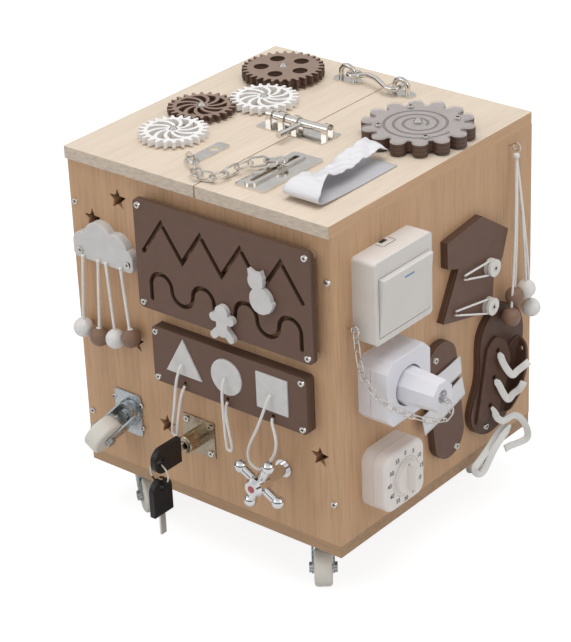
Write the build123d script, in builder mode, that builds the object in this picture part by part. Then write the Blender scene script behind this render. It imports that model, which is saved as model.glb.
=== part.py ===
from build123d import *
import math
import os

os.makedirs("parts", exist_ok=True)

# Box: overall size of the wooden carcass, boards included, casters left out
box_width = 315.0
box_depth = 309.0
box_height = 340.0
board_thickness = 12.0
top_overhang = 4.0
top_seam = 1.0
top_seam_share = 0.012
caster_height = 50.0
edge_round = 1.0
cut_overrun = 1.0
soft_clearance = 0.3
slide_clearance = 0.35
running_clearance = 0.06

# Star cut-outs in the front panel, as shares of the panel's width and the box's height
star_radius = 11.0
star_inner_share = 0.45
star_points = 5
star_place_shares = [(-0.304, 0.881), (-0.414, 0.796), (-0.273, 0.449), (-0.165, 0.215), (0.433, 0.300)]

# Wood screws that hold the panels, and the screws, spacers and eyes of the boards on them
screw_head_radius = 3.6
screw_head_height = 1.6
screw_head_taper = 20.0
screw_edge_inset = 6.0
panel_screw_shares = (0.166, 0.834)
spacer_radius = 5.0
eye_ring_radius = 4.0
eye_wire_radius = 1.1
eye_shank = 4.0

# Gear train on the top
gear_module = 2.58
small_gear_teeth = 24
large_gear_teeth = 30
small_gear_thickness = 6.0
large_gear_thickness = 10.0
gear_backlash = 0.25
gear_lift = 2.0
addendum_share = 0.9
dedendum_share = 1.2
tooth_root_share = 0.30
tooth_tip_share = 0.13
swirl_count = 10
swirl_inner_share = 0.22
swirl_outer_share = 0.78
swirl_narrow_share = 0.36
swirl_wide_share = 0.62
swirl_twist_share = 0.85
large_gear_place_shares = (-0.302, 0.294)
gear_step_angles = (-66.0, -125.0, -74.5)
lightening_hole_count = 5
lightening_hole_radius = 7.5
lightening_circle_share = 0.56
pivot_radius = 2.2
pivot_head_radius = 4.2
pivot_head_height = 2.6
pivot_collar_radius = 6.0
pivot_head_taper = 40.0

# Spiral wheel on the top
wheel_place_shares = (0.327, 0.150)
wheel_tip_radius = 54.0
wheel_root_radius = 43.0
wheel_teeth = 14
wheel_tooth_width = 15.0
wheel_layer = 3.6
wheel_layers = 3
wheel_cover = 2.0
spiral_groove = 3.0
spiral_pitch = 9.0
spiral_turns = 3
spiral_start_radius = 9.0

# Hook and eye on the top
hook_left_shares = (-0.118, 0.390)
hook_right_shares = (0.090, 0.390)
hook_wire_radius = 2.5
staple_wire_radius = 2.5
staple_arch_radius = 8.0
staple_leg = 6.0
staple_plate_length = 32.0
staple_plate_width = 15.0
latch_plate = 1.5
hook_eye_radius = 5.6
hook_arm_stand_off = 8.0
hook_tip_length = 14.0
hook_arm_rise = 3.0
hook_bend_share = 1.8

# Barrel bolt on the top
bolt_place_shares = (0.0, -0.024)
bolt_rod_radius = 4.0
bolt_rod_end = 34.0
bolt_rod_length = 70.0
bolt_strip = 1.5
bolt_strip_width = 6.0
bolt_keeper_places = (-29.0, -14.0)
bolt_body_places = (2.0, 38.0)
bolt_keeper_plate = (-37.0, -8.0)
bolt_body_plate = (-2.0, 43.0)
bolt_plate_depth = 30.0
bolt_axis_height = 8.0
bolt_handle_place = 8.5
bolt_handle_length = 36.0
bolt_handle_radius = 2.4
bolt_knob_radius = 3.2
bolt_knob_length = 9.0

# Door chain on the top
anchor_place_shares = (-0.105, -0.314)
anchor_length = 52.0
anchor_width = 15.0
anchor_hole_radius = 4.5
track_place_shares = (0.159, -0.301)
track_length = 87.0
track_width = 35.0
track_thickness = 2.0
track_slot_length = 68.0
track_slot_width = 5.0
track_offset = -5.0
slider_rest = 9.0
slider_radius = 6.5
slider_thickness = 2.0
slider_neck_radius = 2.1
link_wire = 2.0
link_inner_width = 7.0
link_slack = 2.1
door_chain_links = 8
anchor_ring_height = 5.8
anchor_hole_share = 1.4
slider_ear_height = 8.6
slider_ear_reach = 12.0
slider_ear_radius = 4.4
slider_ear_angle = 221.0
slider_dome_taper = 45.0
door_chain_route = [
    (-23.0, -125.5, 5.8), (-12.0, -138.0, 5.8), (0.0, -148.0, 5.8), (11.0, -148.0, 5.8),
    (18.0, -139.0, 5.8), (19.0, -125.0, 5.8), (21.0, -111.0, 7.0), (27.0, -100.0, 8.6),
]

# Folded fabric strap on the top
strap_width = 46.0
strap_thickness = 1.2
strap_place_shares = (0.365, -0.207)
strap_profile = [
    (43.0, 0.0), (-62.0, 0.0), (-70.0, 6.0), (-62.0, 13.0), (-34.0, 15.0),
    (-14.0, 11.0), (8.0, 15.0), (32.0, 9.5), (55.0, 6.0),
]
strap_bend_radii = [3.5, 5.0, 5.0, 12.0, 16.0, 16.0, 18.0]

# Cloud on the front, with four corded drops; lobes are shares of the cloud's width and height
cloud_place_shares = (-0.357, 0.679)
cloud_width = 76.0
cloud_height = 42.0
cloud_thickness = 9.0
cloud_lobe_shares = [(-0.344, 0.37, 0.156), (-0.07, 0.56, 0.235), (0.214, 0.45, 0.208), (0.365, 0.31, 0.135)]
cloud_band_share = 0.4
drop_place_shares = [(-0.32, 0.08), (-0.06, 0.08), (0.07, 0.08), (0.32, 0.08)]
drop_lengths = (78.0, 82.0, 78.0, 71.0)
drop_spreads = (-7.0, -6.0, 5.5, 6.5)
drop_bead_radius = 9.8
drop_cord_radius = 1.5
drop_knot_radius = 1.9

# Maze board on spacers, with a zigzag slot and a wave slot
maze_place_shares = (0.122, 0.760)
maze_width = 208.0
maze_height = 111.0
maze_thickness = 6.0
maze_stand_off = 6.0
maze_corner = 5.0
maze_screw_inset = 6.0
maze_slot = 4.6
zigzag_runs = 8
zigzag_reach_share = 0.452
zigzag_low_share = 0.038
zigzag_high_share = 0.342
wave_pitch = 51.0
wave_humps = 4
wave_middle_share = -0.252
wave_shift = 2.0
wave_leg = 15.0
peg_radius = 1.9
peg_disc_radius = 4.5
peg_disc_thickness = 2.0
figure_thickness = 5.0
figure_gap = 0.5
cat_run = 6
cat_head_radius = 8.6
cat_body_length = 26.0
cat_body_width = 25.0
cat_ear = 5.0
cat_tail = 5.0
cat_head_share = 0.36
cat_ear_shares = (0.62, 0.8)
man_head_radius = 7.3
man_arm_width = 8.5
man_arm_span = 28.5
man_leg_width = 8.0
man_leg_spread = 10.0
man_body_width = 13.0
man_height = 36.0

# Shape sorter board and its three corded shapes
sorter_place_shares = (0.127, 0.462)
sorter_width = 185.0
sorter_height = 58.0
sorter_thickness = 12.0
sorter_corner = 4.0
sorter_recess = 9.0
sorter_screw_inset = 5.0
shape_thickness = 10.5
shape_size = 37.0
triangle_width = 44.0
shape_place_shares = (-0.292, -0.009, 0.285)
shape_raise = 2.0
shape_cord_radius = 1.4
cord_hole_radius = 1.8
cord_hole_drop = 23.0
cord_bend_share = 0.45

# Routes of the three shape cords on the front face: across, up and out from the panel
triangle_cord_route = [
    (-14.0, 157.0, 14.8), (-14.5, 155.0, 18.0), (-18.0, 140.0, 20.5), (-22.5, 116.0, 19.5), (-26.5, 97.0, 18.5),
    (-28.8, 88.0, 18.2), (-28.9, 80.1, 18.0), (-27.0, 78.2, 18.0), (-24.4, 78.2, 18.0), (-22.5, 80.1, 18.0),
    (-22.2, 88.0, 18.2), (-20.0, 100.0, 18.5), (-16.0, 120.0, 18.5), (-13.6, 131.0, 16.5), (-13.4, 133.6, 13.6),
]
disc_cord_route = [
    (38.4, 159.0, 14.8), (38.6, 157.0, 18.0), (38.4, 142.0, 20.5), (38.6, 118.0, 19.5), (38.2, 101.0, 18.5),
    (38.9, 94.0, 18.2), (39.0, 86.7, 18.0), (40.9, 84.8, 18.0), (43.5, 84.8, 18.0), (45.4, 86.7, 18.0),
    (45.3, 94.0, 18.2), (43.2, 106.0, 18.5), (40.5, 122.0, 18.5), (39.2, 131.0, 16.5), (38.9, 133.6, 13.6),
]
square_cord_route = [
    (92.9, 159.0, 14.8), (92.4, 157.0, 18.0), (88.0, 142.0, 20.5), (78.0, 119.0, 20.0), (68.0, 101.0, 19.0),
    (64.5, 88.0, 18.5), (68.0, 78.5, 18.2), (77.0, 75.5, 18.0), (85.5, 82.0, 18.0), (93.0, 92.0, 18.5),
    (99.0, 103.0, 19.0), (101.0, 115.0, 19.0), (97.5, 126.0, 18.0), (93.6, 132.0, 16.0), (92.8, 134.0, 13.6),
]

# Casters: one on the front panel and four under the base
caster_plate_width = 34.0
caster_plate_length = 45.0
caster_plate_thickness = 2.0
caster_race_radius = 13.0
caster_race_height = 5.0
caster_pin_radius = 4.0
caster_pin_head = 6.0
caster_fork_thickness = 1.8
caster_wheel_radius = 18.5
caster_wheel_width = 17.0
caster_wheel_round = 3.0
caster_axle_radius = 3.0
caster_nut_radius = 5.0
caster_nut_height = 2.5
caster_trail = 15.0
caster_side_gap = 0.6
caster_race_taper = 12.0
fork_leg_shares = (0.7, 0.9, 0.6)
fork_eye_share = 1.2
caster_inset_x = 44.5
caster_inset_y = 28.0
caster_trail_angles = (-35.0, -52.0, -60.0, -40.0)
front_caster_shares = (-0.321, 0.210)
front_caster_angle = 240.0

# Lock on the front with its key, a ring and a spare key
lock_place_shares = (-0.033, 0.221)
lock_plate_size = 39.0
lock_plate_thickness = 1.5
lock_barrel_radius = 9.0
lock_barrel_length = 22.0
keyway_radius = 4.2
key_slot_depth = 17.0
key_blade_thickness = 2.0
key_blade_width = 7.0
key_blade_length = 21.0
key_insertion = 14.0
key_head_width = 26.0
key_head_length = 37.0
key_head_thickness = 6.0
key_head_round = 12.0
key_hole_radius = 4.0
key_hole_inset = 8.0
key_ring_radius = 11.0
key_ring_wire = 0.9
spare_blade_length = 23.0

# Cross-handle tap on the front
tap_place_shares = (0.295, 0.222)
tap_rose_radius = 9.0
tap_rose_thickness = 2.0
tap_stem_radius = 6.0
tap_stem_length = 26.0
tap_spindle_radius = 3.0
tap_hub_radius = 9.5
tap_hub_length = 16.0
tap_cap_length = 4.0
tap_arm_length = 31.0
tap_arm_radius = 4.5
tap_arm_end_radius = 6.4
tap_arm_angle = 61.0
tap_cap_taper = 30.0

# Light switch on the right side
switch_place_shares = (-0.277, 0.759)
switch_width = 85.0
switch_height = 82.0
switch_depth = 26.0
switch_corner = 4.0
rocker_drop = 5.0
rocker_width = 74.0
rocker_height = 58.0
rocker_thickness = 6.0
rocker_gap = 0.7
rocker_tilt = 5.0
rocker_pocket = 10.0
rocker_pivot_depth = 2.5
rocker_pin_radius = 1.5
rocker_pin_length = 2.5

# Wall socket and plug
socket_place_shares = (-0.291, 0.485)
socket_size = 66.0
socket_depth = 33.0
socket_corner = 9.0
socket_seam_share = 0.42
socket_seam = 0.8
socket_recess_radius = 20.0
socket_recess_depth = 15.0
plug_base_radius = 19.4
plug_length = 52.0
plug_taper = 4.0
plug_pin_radius = 2.3
plug_pin_spacing = 19.0
plug_pin_length = 9.0
plug_mouth_radius = 6.5
plug_mouth_depth = 7.0
plug_bar_radius = 1.0
plug_bar_inset = 3.5
plug_sides = 8

# Chain of the plug: its eye on the panel and its route on the right side, across, up and out
plug_eye_shares = (-0.437, 0.683)
plug_chain_links = 17
plug_link_wire = 1.3
plug_link_inner_width = 4.6
plug_link_slack = 1.5
plug_chain_route = [
    (-135.0, 215.0, 9.5), (-134.5, 196.0, 12.0), (-133.0, 182.0, 16.0), (-131.5, 172.5, 24.0),
    (-129.5, 166.0, 31.0), (-124.5, 159.0, 39.0), (-116.0, 152.0, 47.0), (-109.5, 147.5, 57.0),
    (-103.0, 144.0, 67.0), (-97.0, 145.0, 76.0), (-92.5, 152.0, 82.0), (-90.0, 161.0, 79.0),
]

# Kitchen timer
timer_place_shares = (-0.294, 0.199)
timer_size = 60.0
timer_depth = 28.0
timer_corner = 12.0
timer_round = 4.0
timer_seam_share = 0.45
timer_seam = 0.6
timer_dial_radius = 17.0
timer_dial_thickness = 4.0
timer_grip_width = 7.0
timer_grip_height = 9.0
timer_spindle_radius = 3.0
timer_spindle_length = 8.0
timer_dial_taper = 15.0
timer_grip_taper = 5.0

# Boards on the right side: outlines across and up
side_board_thickness = 8.0
coat_outline = [
    (61.0, 268.5), (104.0, 239.5), (95.0, 213.5), (80.0, 196.0), (77.5, 162.0),
    (-2.5, 181.0), (23.0, 229.2), (5.5, 235.0), (5.0, 262.0),
]
velcro_centre = (1.0, 98.5)
velcro_length = 130.0
velcro_width = 47.0
velcro_angle = 98.0
shoe_outline = [
    (76.0, 157.5), (60.0, 139.0), (55.5, 92.0), (42.7, 58.0), (51.0, 40.0), (74.5, 29.5),
    (100.0, 36.0), (119.0, 62.0), (127.0, 95.0), (130.5, 126.0), (117.0, 152.0), (97.0, 161.0),
]
button_places = [(72.3, 212.0), (69.6, 172.0)]
button_radius = 8.6
button_waist_radius = 6.3
button_base = 2.0
button_groove = 2.6
button_rim = 3.0
loop_hook_places = [(27.6, 218.8), (13.3, 187.5)]
loop_radius = 1.0
velcro_strap_routes = [
    [(-27.0, 121.5), (24.0, 128.0), 20.0],
    [(-37.0, 88.0), (28.0, 103.5), 22.0],
]
velcro_strap_bow = 1.0

# Bead bunch: four beads on cords from one eye
bunch_eye_shares = (0.379, 0.938)
bunch_knot_radius = 3.4
bunch_cord_radius = 1.2
bunch_bead_radius = 9.4
bunch_bend_shares = (0.33, 0.68)
bunch_cord_bow = 1.5
bunch_bead_places = [(104.9, 169.0, 15.2), (94.6, 151.5, 18.2), (132.0, 164.5, 10.5), (138.3, 142.0, 12.0)]

# Lacing shoe: two flaps hinged outward from the board and a lace, routes across, up and out
flap_outline = [
    (-20.0, -42.0), (11.0, -38.0), (16.0, -12.0), (17.0, 18.0), (9.0, 36.0), (-8.0, 44.0), (-20.0, 36.0),
]
flap_corner = 7.0
flap_thickness = 3.0
flap_hole_radius = 3.0
flap_hole_places = [(5.0, 27.0), (4.0, -1.0), (1.0, -28.0)]
left_flap_place = (80.0, 90.0, 13.4)
left_flap_tilt = 14.0
right_flap_place = (113.5, 86.0, 23.8)
right_flap_tilt = 50.0
lace_radius = 1.7
lace_routes = [
    [
        (79.5, 114.0, 18.2), (90.0, 99.0, 23.0), (98.0, 87.0, 28.5), (100.5, 83.5, 33.0), (99.5, 85.5, 38.0),
        (101.0, 93.0, 40.5), (104.0, 104.0, 40.8),
    ],
    [
        (77.5, 89.0, 17.7), (85.0, 74.0, 22.0), (93.0, 64.0, 26.0), (98.5, 60.5, 31.5), (98.5, 62.5, 36.5),
        (100.0, 70.0, 39.5), (103.5, 80.0, 39.6),
    ],
    [
        (72.0, 62.0, 16.8), (78.0, 48.0, 20.0), (86.0, 40.5, 19.5), (97.0, 40.0, 19.0), (108.0, 34.0, 19.0),
        (118.0, 23.0, 19.0), (125.5, 10.0, 19.0), (126.5, 1.0, 19.0), (119.0, -2.0, 19.0), (109.0, 5.0, 19.0),
        (98.0, 13.0, 18.0), (88.0, 21.0, 16.0),
    ],
    [
        (83.0, 33.0, 14.0), (74.0, 29.0, 14.5), (62.0, 21.0, 15.0), (48.0, 17.0, 16.0), (34.0, 18.5, 17.0),
        (26.5, 13.0, 17.0), (27.5, 4.0, 17.0), (37.0, 0.0, 17.0), (48.0, 4.0, 16.0), (60.0, 12.0, 12.5),
        (71.0, 22.0, 10.8), (82.0, 33.0, 10.0),
    ],
]

# Screws on the boards, across and up
cloud_screw_shares = [(-0.37, 0.2), (0.42, 0.2)]
velcro_screws = [(-15.5, 149.0), (17.5, 41.0)]
shoe_screws = [(66.9, 39.5)]
lock_screw_inset = 5.0

# Derived frames: the outer faces of the box
top_height = caster_height + box_height
front_face = Plane(origin=(0, -box_depth / 2, caster_height), x_dir=(1, 0, 0), z_dir=(0, -1, 0))
right_face = Plane(origin=(box_width / 2, 0, caster_height), x_dir=(0, 1, 0), z_dir=(1, 0, 0))
back_face = Plane(origin=(0, box_depth / 2, caster_height), x_dir=(-1, 0, 0), z_dir=(0, 1, 0))
top_face = Plane.XY.offset(top_height)


def front_at(shares):
    """A place on the front, from shares of the box's width and height."""
    return (shares[0] * box_width, shares[1] * box_height)


def right_at(shares):
    """A place on the right side, from shares of the box's depth and height."""
    return (shares[0] * box_depth, shares[1] * box_height)


def top_at(shares):
    """A place on the top, from shares of the box's width and depth."""
    return (shares[0] * box_width, shares[1] * box_depth)


def save(builder, name):
    """Label a finished piece and write its file."""
    builder.part.label = name
    export_step(builder.part, f"parts/{name}.step")


def save_group(builders, name):
    """Write pieces that touch, as separate solids of one node."""
    group = Compound(label=name, children=[builder.part for builder in builders])
    export_step(group, f"parts/{name}.step")


def polar(radius, degrees):
    """A point at a radius and an angle."""
    return (radius * math.cos(math.radians(degrees)), radius * math.sin(math.radians(degrees)))


# Carcass
panel_height = box_height - 2 * board_thickness
inner_depth = box_depth - 2 * board_thickness

with BuildPart() as base_board:
    with BuildSketch(Plane.XY.offset(caster_height)):
        RectangleRounded(box_width, box_depth, edge_round)
    extrude(amount=board_thickness)
save(base_board, "base_board")

with BuildPart() as front_panel:
    with BuildSketch(front_face):
        with Locations((0, box_height / 2)):
            Rectangle(box_width, panel_height)
        for star_shares in star_place_shares:
            with Locations(front_at(star_shares)):
                star = [
                    polar(
                        star_radius if corner % 2 == 0 else star_radius * star_inner_share,
                        90 + corner * 180 / star_points,
                    )
                    for corner in range(2 * star_points)
                ]
                Polygon(*star, align=None, mode=Mode.SUBTRACT)
    extrude(amount=-board_thickness)
save(front_panel, "front_panel")

with BuildPart() as back_panel:
    with BuildSketch(back_face):
        with Locations((0, box_height / 2)):
            Rectangle(box_width, panel_height)
    extrude(amount=-board_thickness)
with BuildPart() as side_panels:
    with BuildSketch(right_face, right_face.offset(board_thickness - box_width)):
        with Locations((0, box_height / 2)):
            Rectangle(inner_depth, panel_height)
    extrude(amount=-board_thickness)
save_group([back_panel, side_panels], "wall_panels")

seam_x = top_seam_share * box_width
left_board_width = box_width / 2 + seam_x - top_seam / 2
right_board_width = box_width / 2 - seam_x - top_seam / 2
with BuildPart() as top_boards:
    with BuildSketch(Plane.XY.offset(top_height - board_thickness)):
        with Locations((-box_width / 2 + left_board_width / 2, -top_overhang / 2)):
            RectangleRounded(left_board_width, box_depth + top_overhang, edge_round)
        with Locations((box_width / 2 - right_board_width / 2, -top_overhang / 2)):
            RectangleRounded(right_board_width, box_depth + top_overhang, edge_round)
    extrude(amount=board_thickness)
save(top_boards, "top_boards")

# Gear train: a large gear and three small ones, each in mesh with the next
small_pitch_radius = gear_module * small_gear_teeth / 2
large_pitch_radius = gear_module * large_gear_teeth / 2


def mesh_phase(direction, phase, teeth, next_teeth):
    """The angle of a tooth on the next gear, so that its gap meets this gear's tooth."""
    offset = (direction - phase) * teeth / 360
    return direction + 180 - (0.5 - offset) * 360 / next_teeth


def gear_points(teeth, phase):
    """Corners of a gear with straight-flanked teeth."""
    pitch_radius = gear_module * teeth / 2
    tip = pitch_radius + addendum_share * gear_module
    root = pitch_radius - dedendum_share * gear_module
    step = 360 / teeth
    points = []
    for tooth in range(teeth):
        middle = phase + tooth * step
        points.append(polar(root, middle - tooth_root_share * step))
        points.append(polar(tip, middle - tooth_tip_share * step))
        points.append(polar(tip, middle + tooth_tip_share * step))
        points.append(polar(root, middle + tooth_root_share * step))
    return points


def step_from(point, radius, degrees):
    """A point moved by a radius at an angle."""
    step = polar(radius, degrees)
    return (point[0] + step[0], point[1] + step[1])


gear_places = [top_at(large_gear_place_shares)]
gear_phases = [gear_step_angles[0]]
gear_teeth = [large_gear_teeth, small_gear_teeth, small_gear_teeth, small_gear_teeth]
for index, angle in enumerate(gear_step_angles):
    reach = gear_module * (gear_teeth[index] + gear_teeth[index + 1]) / 2 + gear_backlash
    gear_places.append(step_from(gear_places[index], reach, angle))
    gear_phases.append(mesh_phase(angle, gear_phases[index], gear_teeth[index], gear_teeth[index + 1]))
gear_seat = top_face.offset(gear_lift)
pivot_bore = pivot_radius + running_clearance

with BuildPart() as gear_large:
    with BuildSketch(gear_seat):
        with Locations(gear_places[0]):
            Polygon(*gear_points(large_gear_teeth, gear_phases[0]), align=None)
            Circle(pivot_bore, mode=Mode.SUBTRACT)
            with PolarLocations(lightening_circle_share * large_pitch_radius, lightening_hole_count):
                Circle(lightening_hole_radius, mode=Mode.SUBTRACT)
    extrude(amount=large_gear_thickness)
save(gear_large, "gear_large")


def swirl_gear(place, phase, name):
    """A small gear with a ring of curved cut-outs that fan out like a turbine."""
    inner = swirl_inner_share * small_pitch_radius
    outer = swirl_outer_share * small_pitch_radius
    step = 360 / swirl_count
    twist = swirl_twist_share * step
    middle_radius = (inner + outer) / 2
    with BuildSketch() as swirl:
        with BuildLine():
            low_start = polar(inner, 0)
            low_end = polar(outer, twist)
            high_start = polar(inner, swirl_narrow_share * step)
            high_end = polar(outer, twist + swirl_wide_share * step)
            Line(high_start, low_start)
            ThreePointArc(low_start, polar(middle_radius, swirl_narrow_share * twist), low_end)
            RadiusArc(low_end, high_end, -outer)
            high_middle = polar(middle_radius, swirl_wide_share * step + swirl_narrow_share * twist)
            ThreePointArc(high_end, high_middle, high_start)
        make_face()
    with BuildPart() as gear:
        with BuildSketch(gear_seat):
            with Locations(place):
                Polygon(*gear_points(small_gear_teeth, phase), align=None)
                Circle(pivot_bore, mode=Mode.SUBTRACT)
                for slot in range(swirl_count):
                    add(swirl.sketch, rotation=slot * step + phase, mode=Mode.SUBTRACT)
        extrude(amount=small_gear_thickness)
    save(gear, name)


small_gear_names = ("gear_white_rear", "gear_brown", "gear_white_front")
for gear_place, gear_phase, gear_name in zip(gear_places[1:], gear_phases[1:], small_gear_names):
    swirl_gear(gear_place, gear_phase, gear_name)

# Spiral wheel: rounded teeth, stacked layers, a groove under a clear cover
wheel_place = top_at(wheel_place_shares)
wheel_height = wheel_layers * wheel_layer
wheel_seat = top_face.offset(gear_lift)
wheel_top = wheel_seat.offset(wheel_height)


def wheel_outline(plane):
    """The wheel's outline: a disc with round-ended teeth, and the bore of its pivot."""
    with BuildSketch(plane) as outline:
        with Locations(wheel_place):
            Circle(wheel_root_radius)
            tooth_end = wheel_tip_radius - wheel_tooth_width / 2
            with PolarLocations(0, wheel_teeth):
                with Locations((tooth_end / 2, 0)):
                    Rectangle(tooth_end, wheel_tooth_width)
            with PolarLocations(tooth_end, wheel_teeth):
                Circle(wheel_tooth_width / 2)
            Circle(pivot_bore, mode=Mode.SUBTRACT)
    return outline.sketch


with BuildPart() as spiral_wheel:
    extrude(wheel_outline(wheel_seat), amount=wheel_height)
    with BuildSketch(wheel_top):
        with BuildLine():
            half_turns = 2 * spiral_turns
            for half in range(half_turns):
                side = 1 if half % 2 == 0 else -1
                inner_radius = spiral_start_radius + half * spiral_pitch / 2
                outer_radius = inner_radius + spiral_pitch / 2
                middle_x = wheel_place[0] - side * spiral_pitch / 4
                middle_radius = (inner_radius + outer_radius) / 2
                ThreePointArc(
                    (middle_x + side * middle_radius, wheel_place[1]),
                    (middle_x, wheel_place[1] + side * middle_radius),
                    (middle_x - side * middle_radius, wheel_place[1]),
                )
        trace(line_width=spiral_groove)
    extrude(amount=-wheel_layer / 2, mode=Mode.SUBTRACT)
save(spiral_wheel, "spiral_wheel")

with BuildPart() as spiral_cover:
    extrude(wheel_outline(wheel_top), amount=wheel_cover)
save(spiral_cover, "spiral_cover")

# Pivots: a collar under the wheel, a shaft through it and a domed head over it
pivot_stacks = [(gear_places[0], large_gear_thickness)]
pivot_stacks += [(place, small_gear_thickness) for place in gear_places[1:]]
pivot_stacks.append((wheel_place, wheel_height + wheel_cover))
with BuildPart() as gear_pivots:
    for pivot_place, stack in pivot_stacks:
        head_seat = gear_lift + stack + soft_clearance / 2
        with BuildSketch(top_face):
            with Locations(pivot_place):
                Circle(pivot_collar_radius)
        extrude(amount=gear_lift - soft_clearance / 2)
        with BuildSketch(top_face):
            with Locations(pivot_place):
                Circle(pivot_radius)
        extrude(amount=head_seat)
        with BuildSketch(top_face.offset(head_seat)):
            with Locations(pivot_place):
                Circle(pivot_head_radius)
        extrude(amount=pivot_head_height, taper=pivot_head_taper)
save(gear_pivots, "gear_pivots")

# Hook and eye: two arched staples on plates, and the hook between them
hook_left = top_at(hook_left_shares)
hook_right = top_at(hook_right_shares)
hook_level = top_height + hook_arm_stand_off


def staple(place):
    """A wire arch on a plate, with its opening along Y."""
    base = (*place, top_height + latch_plate)
    legs = staple_arch_radius
    with BuildPart() as piece:
        with BuildSketch(top_face):
            with Locations(place):
                SlotOverall(staple_plate_length, staple_plate_width)
        extrude(amount=latch_plate)
        with BuildLine(Plane(origin=base, x_dir=(1, 0, 0), z_dir=(0, -1, 0))) as arch:
            Line((legs, -latch_plate / 2), (legs, staple_leg))
            ThreePointArc((legs, staple_leg), (0, staple_leg + legs), (-legs, staple_leg))
            Line((-legs, staple_leg), (-legs, -latch_plate / 2))
        with BuildSketch(Plane(origin=arch.line @ 0, z_dir=(0, 0, 1))):
            Circle(staple_wire_radius)
        sweep(path=arch.line)
    return piece


# The hook's eye goes round the near leg of the left staple, its tip through the right one
hook_pivot = (hook_left[0] + staple_arch_radius, hook_left[1])
arm_front = hook_right[1] - staple_wire_radius - hook_wire_radius - slide_clearance * 2
with BuildPart() as hook_arm:
    eye_edge = (hook_pivot[0] + hook_eye_radius, hook_pivot[1], hook_level)
    with BuildPart(Plane(origin=(*hook_pivot, hook_level))) as eye:
        Torus(hook_eye_radius, hook_wire_radius)
    add(eye.part)
    arm_middle = (hook_pivot[0] + hook_right[0]) / 2
    arm_route = [
        eye_edge,
        (eye_edge[0] + hook_eye_radius * 2, hook_pivot[1], hook_level + hook_arm_rise),
        (arm_middle, (hook_pivot[1] + arm_front) / 2, hook_level + hook_arm_rise),
        (hook_right[0] - hook_eye_radius * 2, arm_front - hook_wire_radius * 2, hook_level),
        (hook_right[0], arm_front - hook_wire_radius * 2, hook_level),
        (hook_right[0], arm_front - hook_wire_radius * 2 + hook_tip_length, hook_level),
    ]
    with BuildLine() as arm_line:
        FilletPolyline(*arm_route, radius=hook_wire_radius * hook_bend_share)
    with BuildSketch(Plane(origin=arm_line.line @ 0, z_dir=arm_line.line % 0)):
        Circle(hook_wire_radius)
    sweep(path=arm_line.line)
save(hook_arm, "hook_arm")

# Barrel bolt: strip loops round the rod on both sides of the seam, and a rod with a side handle
bolt_x, bolt_y = top_at(bolt_place_shares)
loop_inner = bolt_rod_radius + slide_clearance
loop_outer = loop_inner + bolt_strip
axis_level = top_height + bolt_strip + bolt_axis_height


def bolt_bracket(plate_span, loop_places):
    """A base plate with two strip loops that guide the rod."""
    with BuildPart() as bracket:
        with BuildSketch(top_face):
            with Locations((bolt_x + sum(plate_span) / 2, bolt_y)):
                RectangleRounded(plate_span[1] - plate_span[0], bolt_plate_depth, loop_inner / 2)
        extrude(amount=bolt_strip)
        for loop_place in loop_places:
            loop_x = bolt_x + loop_place - bolt_strip_width / 2
            loop_plane = Plane(origin=(loop_x, bolt_y, axis_level), x_dir=(0, 1, 0), z_dir=(1, 0, 0))
            with BuildSketch(loop_plane):
                Circle(loop_outer)
                with Locations((0, -bolt_axis_height / 2)):
                    Rectangle(2 * loop_outer, bolt_axis_height)
                Circle(loop_inner, mode=Mode.SUBTRACT)
                with Locations((0, -bolt_axis_height / 2)):
                    Rectangle(2 * loop_inner, bolt_axis_height, mode=Mode.SUBTRACT)
            extrude(amount=bolt_strip_width)
    return bracket


with BuildPart() as bolt_rod:
    rod_plane = Plane(origin=(bolt_x - bolt_rod_end, bolt_y, axis_level), x_dir=(0, 1, 0), z_dir=(1, 0, 0))
    with BuildSketch(rod_plane):
        Circle(bolt_rod_radius)
    extrude(amount=bolt_rod_length)
    chamfer(faces().sort_by(Axis.X)[0].edges(), bolt_rod_radius / 4)
    handle_plane = Plane(
        origin=(bolt_x + bolt_handle_place, bolt_y, axis_level), x_dir=(1, 0, 0), z_dir=(0, -1, 0)
    )
    with BuildSketch(handle_plane):
        Circle(bolt_handle_radius)
    extrude(amount=bolt_handle_length)
    with BuildSketch(handle_plane.offset(bolt_handle_length - bolt_knob_length)):
        Circle(bolt_knob_radius)
    extrude(amount=bolt_knob_length)
save(bolt_rod, "bolt_rod")

# Door chain: an anchor plate with an upright tab, a slotted track, a slider and links
anchor_place = top_at(anchor_place_shares)
track_place = top_at(track_place_shares)
slot_place = (track_place[0] + track_offset, track_place[1])

with BuildPart() as chain_anchor:
    with BuildSketch(top_face):
        with Locations(anchor_place):
            RectangleRounded(anchor_width, anchor_length, anchor_width / 4)
            with Locations((0, anchor_length / 5)):
                Circle(anchor_hole_radius, mode=Mode.SUBTRACT)
    extrude(amount=latch_plate)
    tab_plane = Plane(
        origin=(anchor_place[0], anchor_place[1] - anchor_length / 2 + latch_plate, top_height),
        x_dir=(1, 0, 0),
        z_dir=(0, 1, 0),
    )
    with BuildSketch(tab_plane):
        with Locations((0, -anchor_ring_height / 2)):
            Rectangle(anchor_width / 2, anchor_ring_height)
        with Locations((0, -anchor_ring_height)):
            Circle(anchor_width / 3)
            Circle(link_wire * anchor_hole_share, mode=Mode.SUBTRACT)
    extrude(amount=latch_plate)

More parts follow.
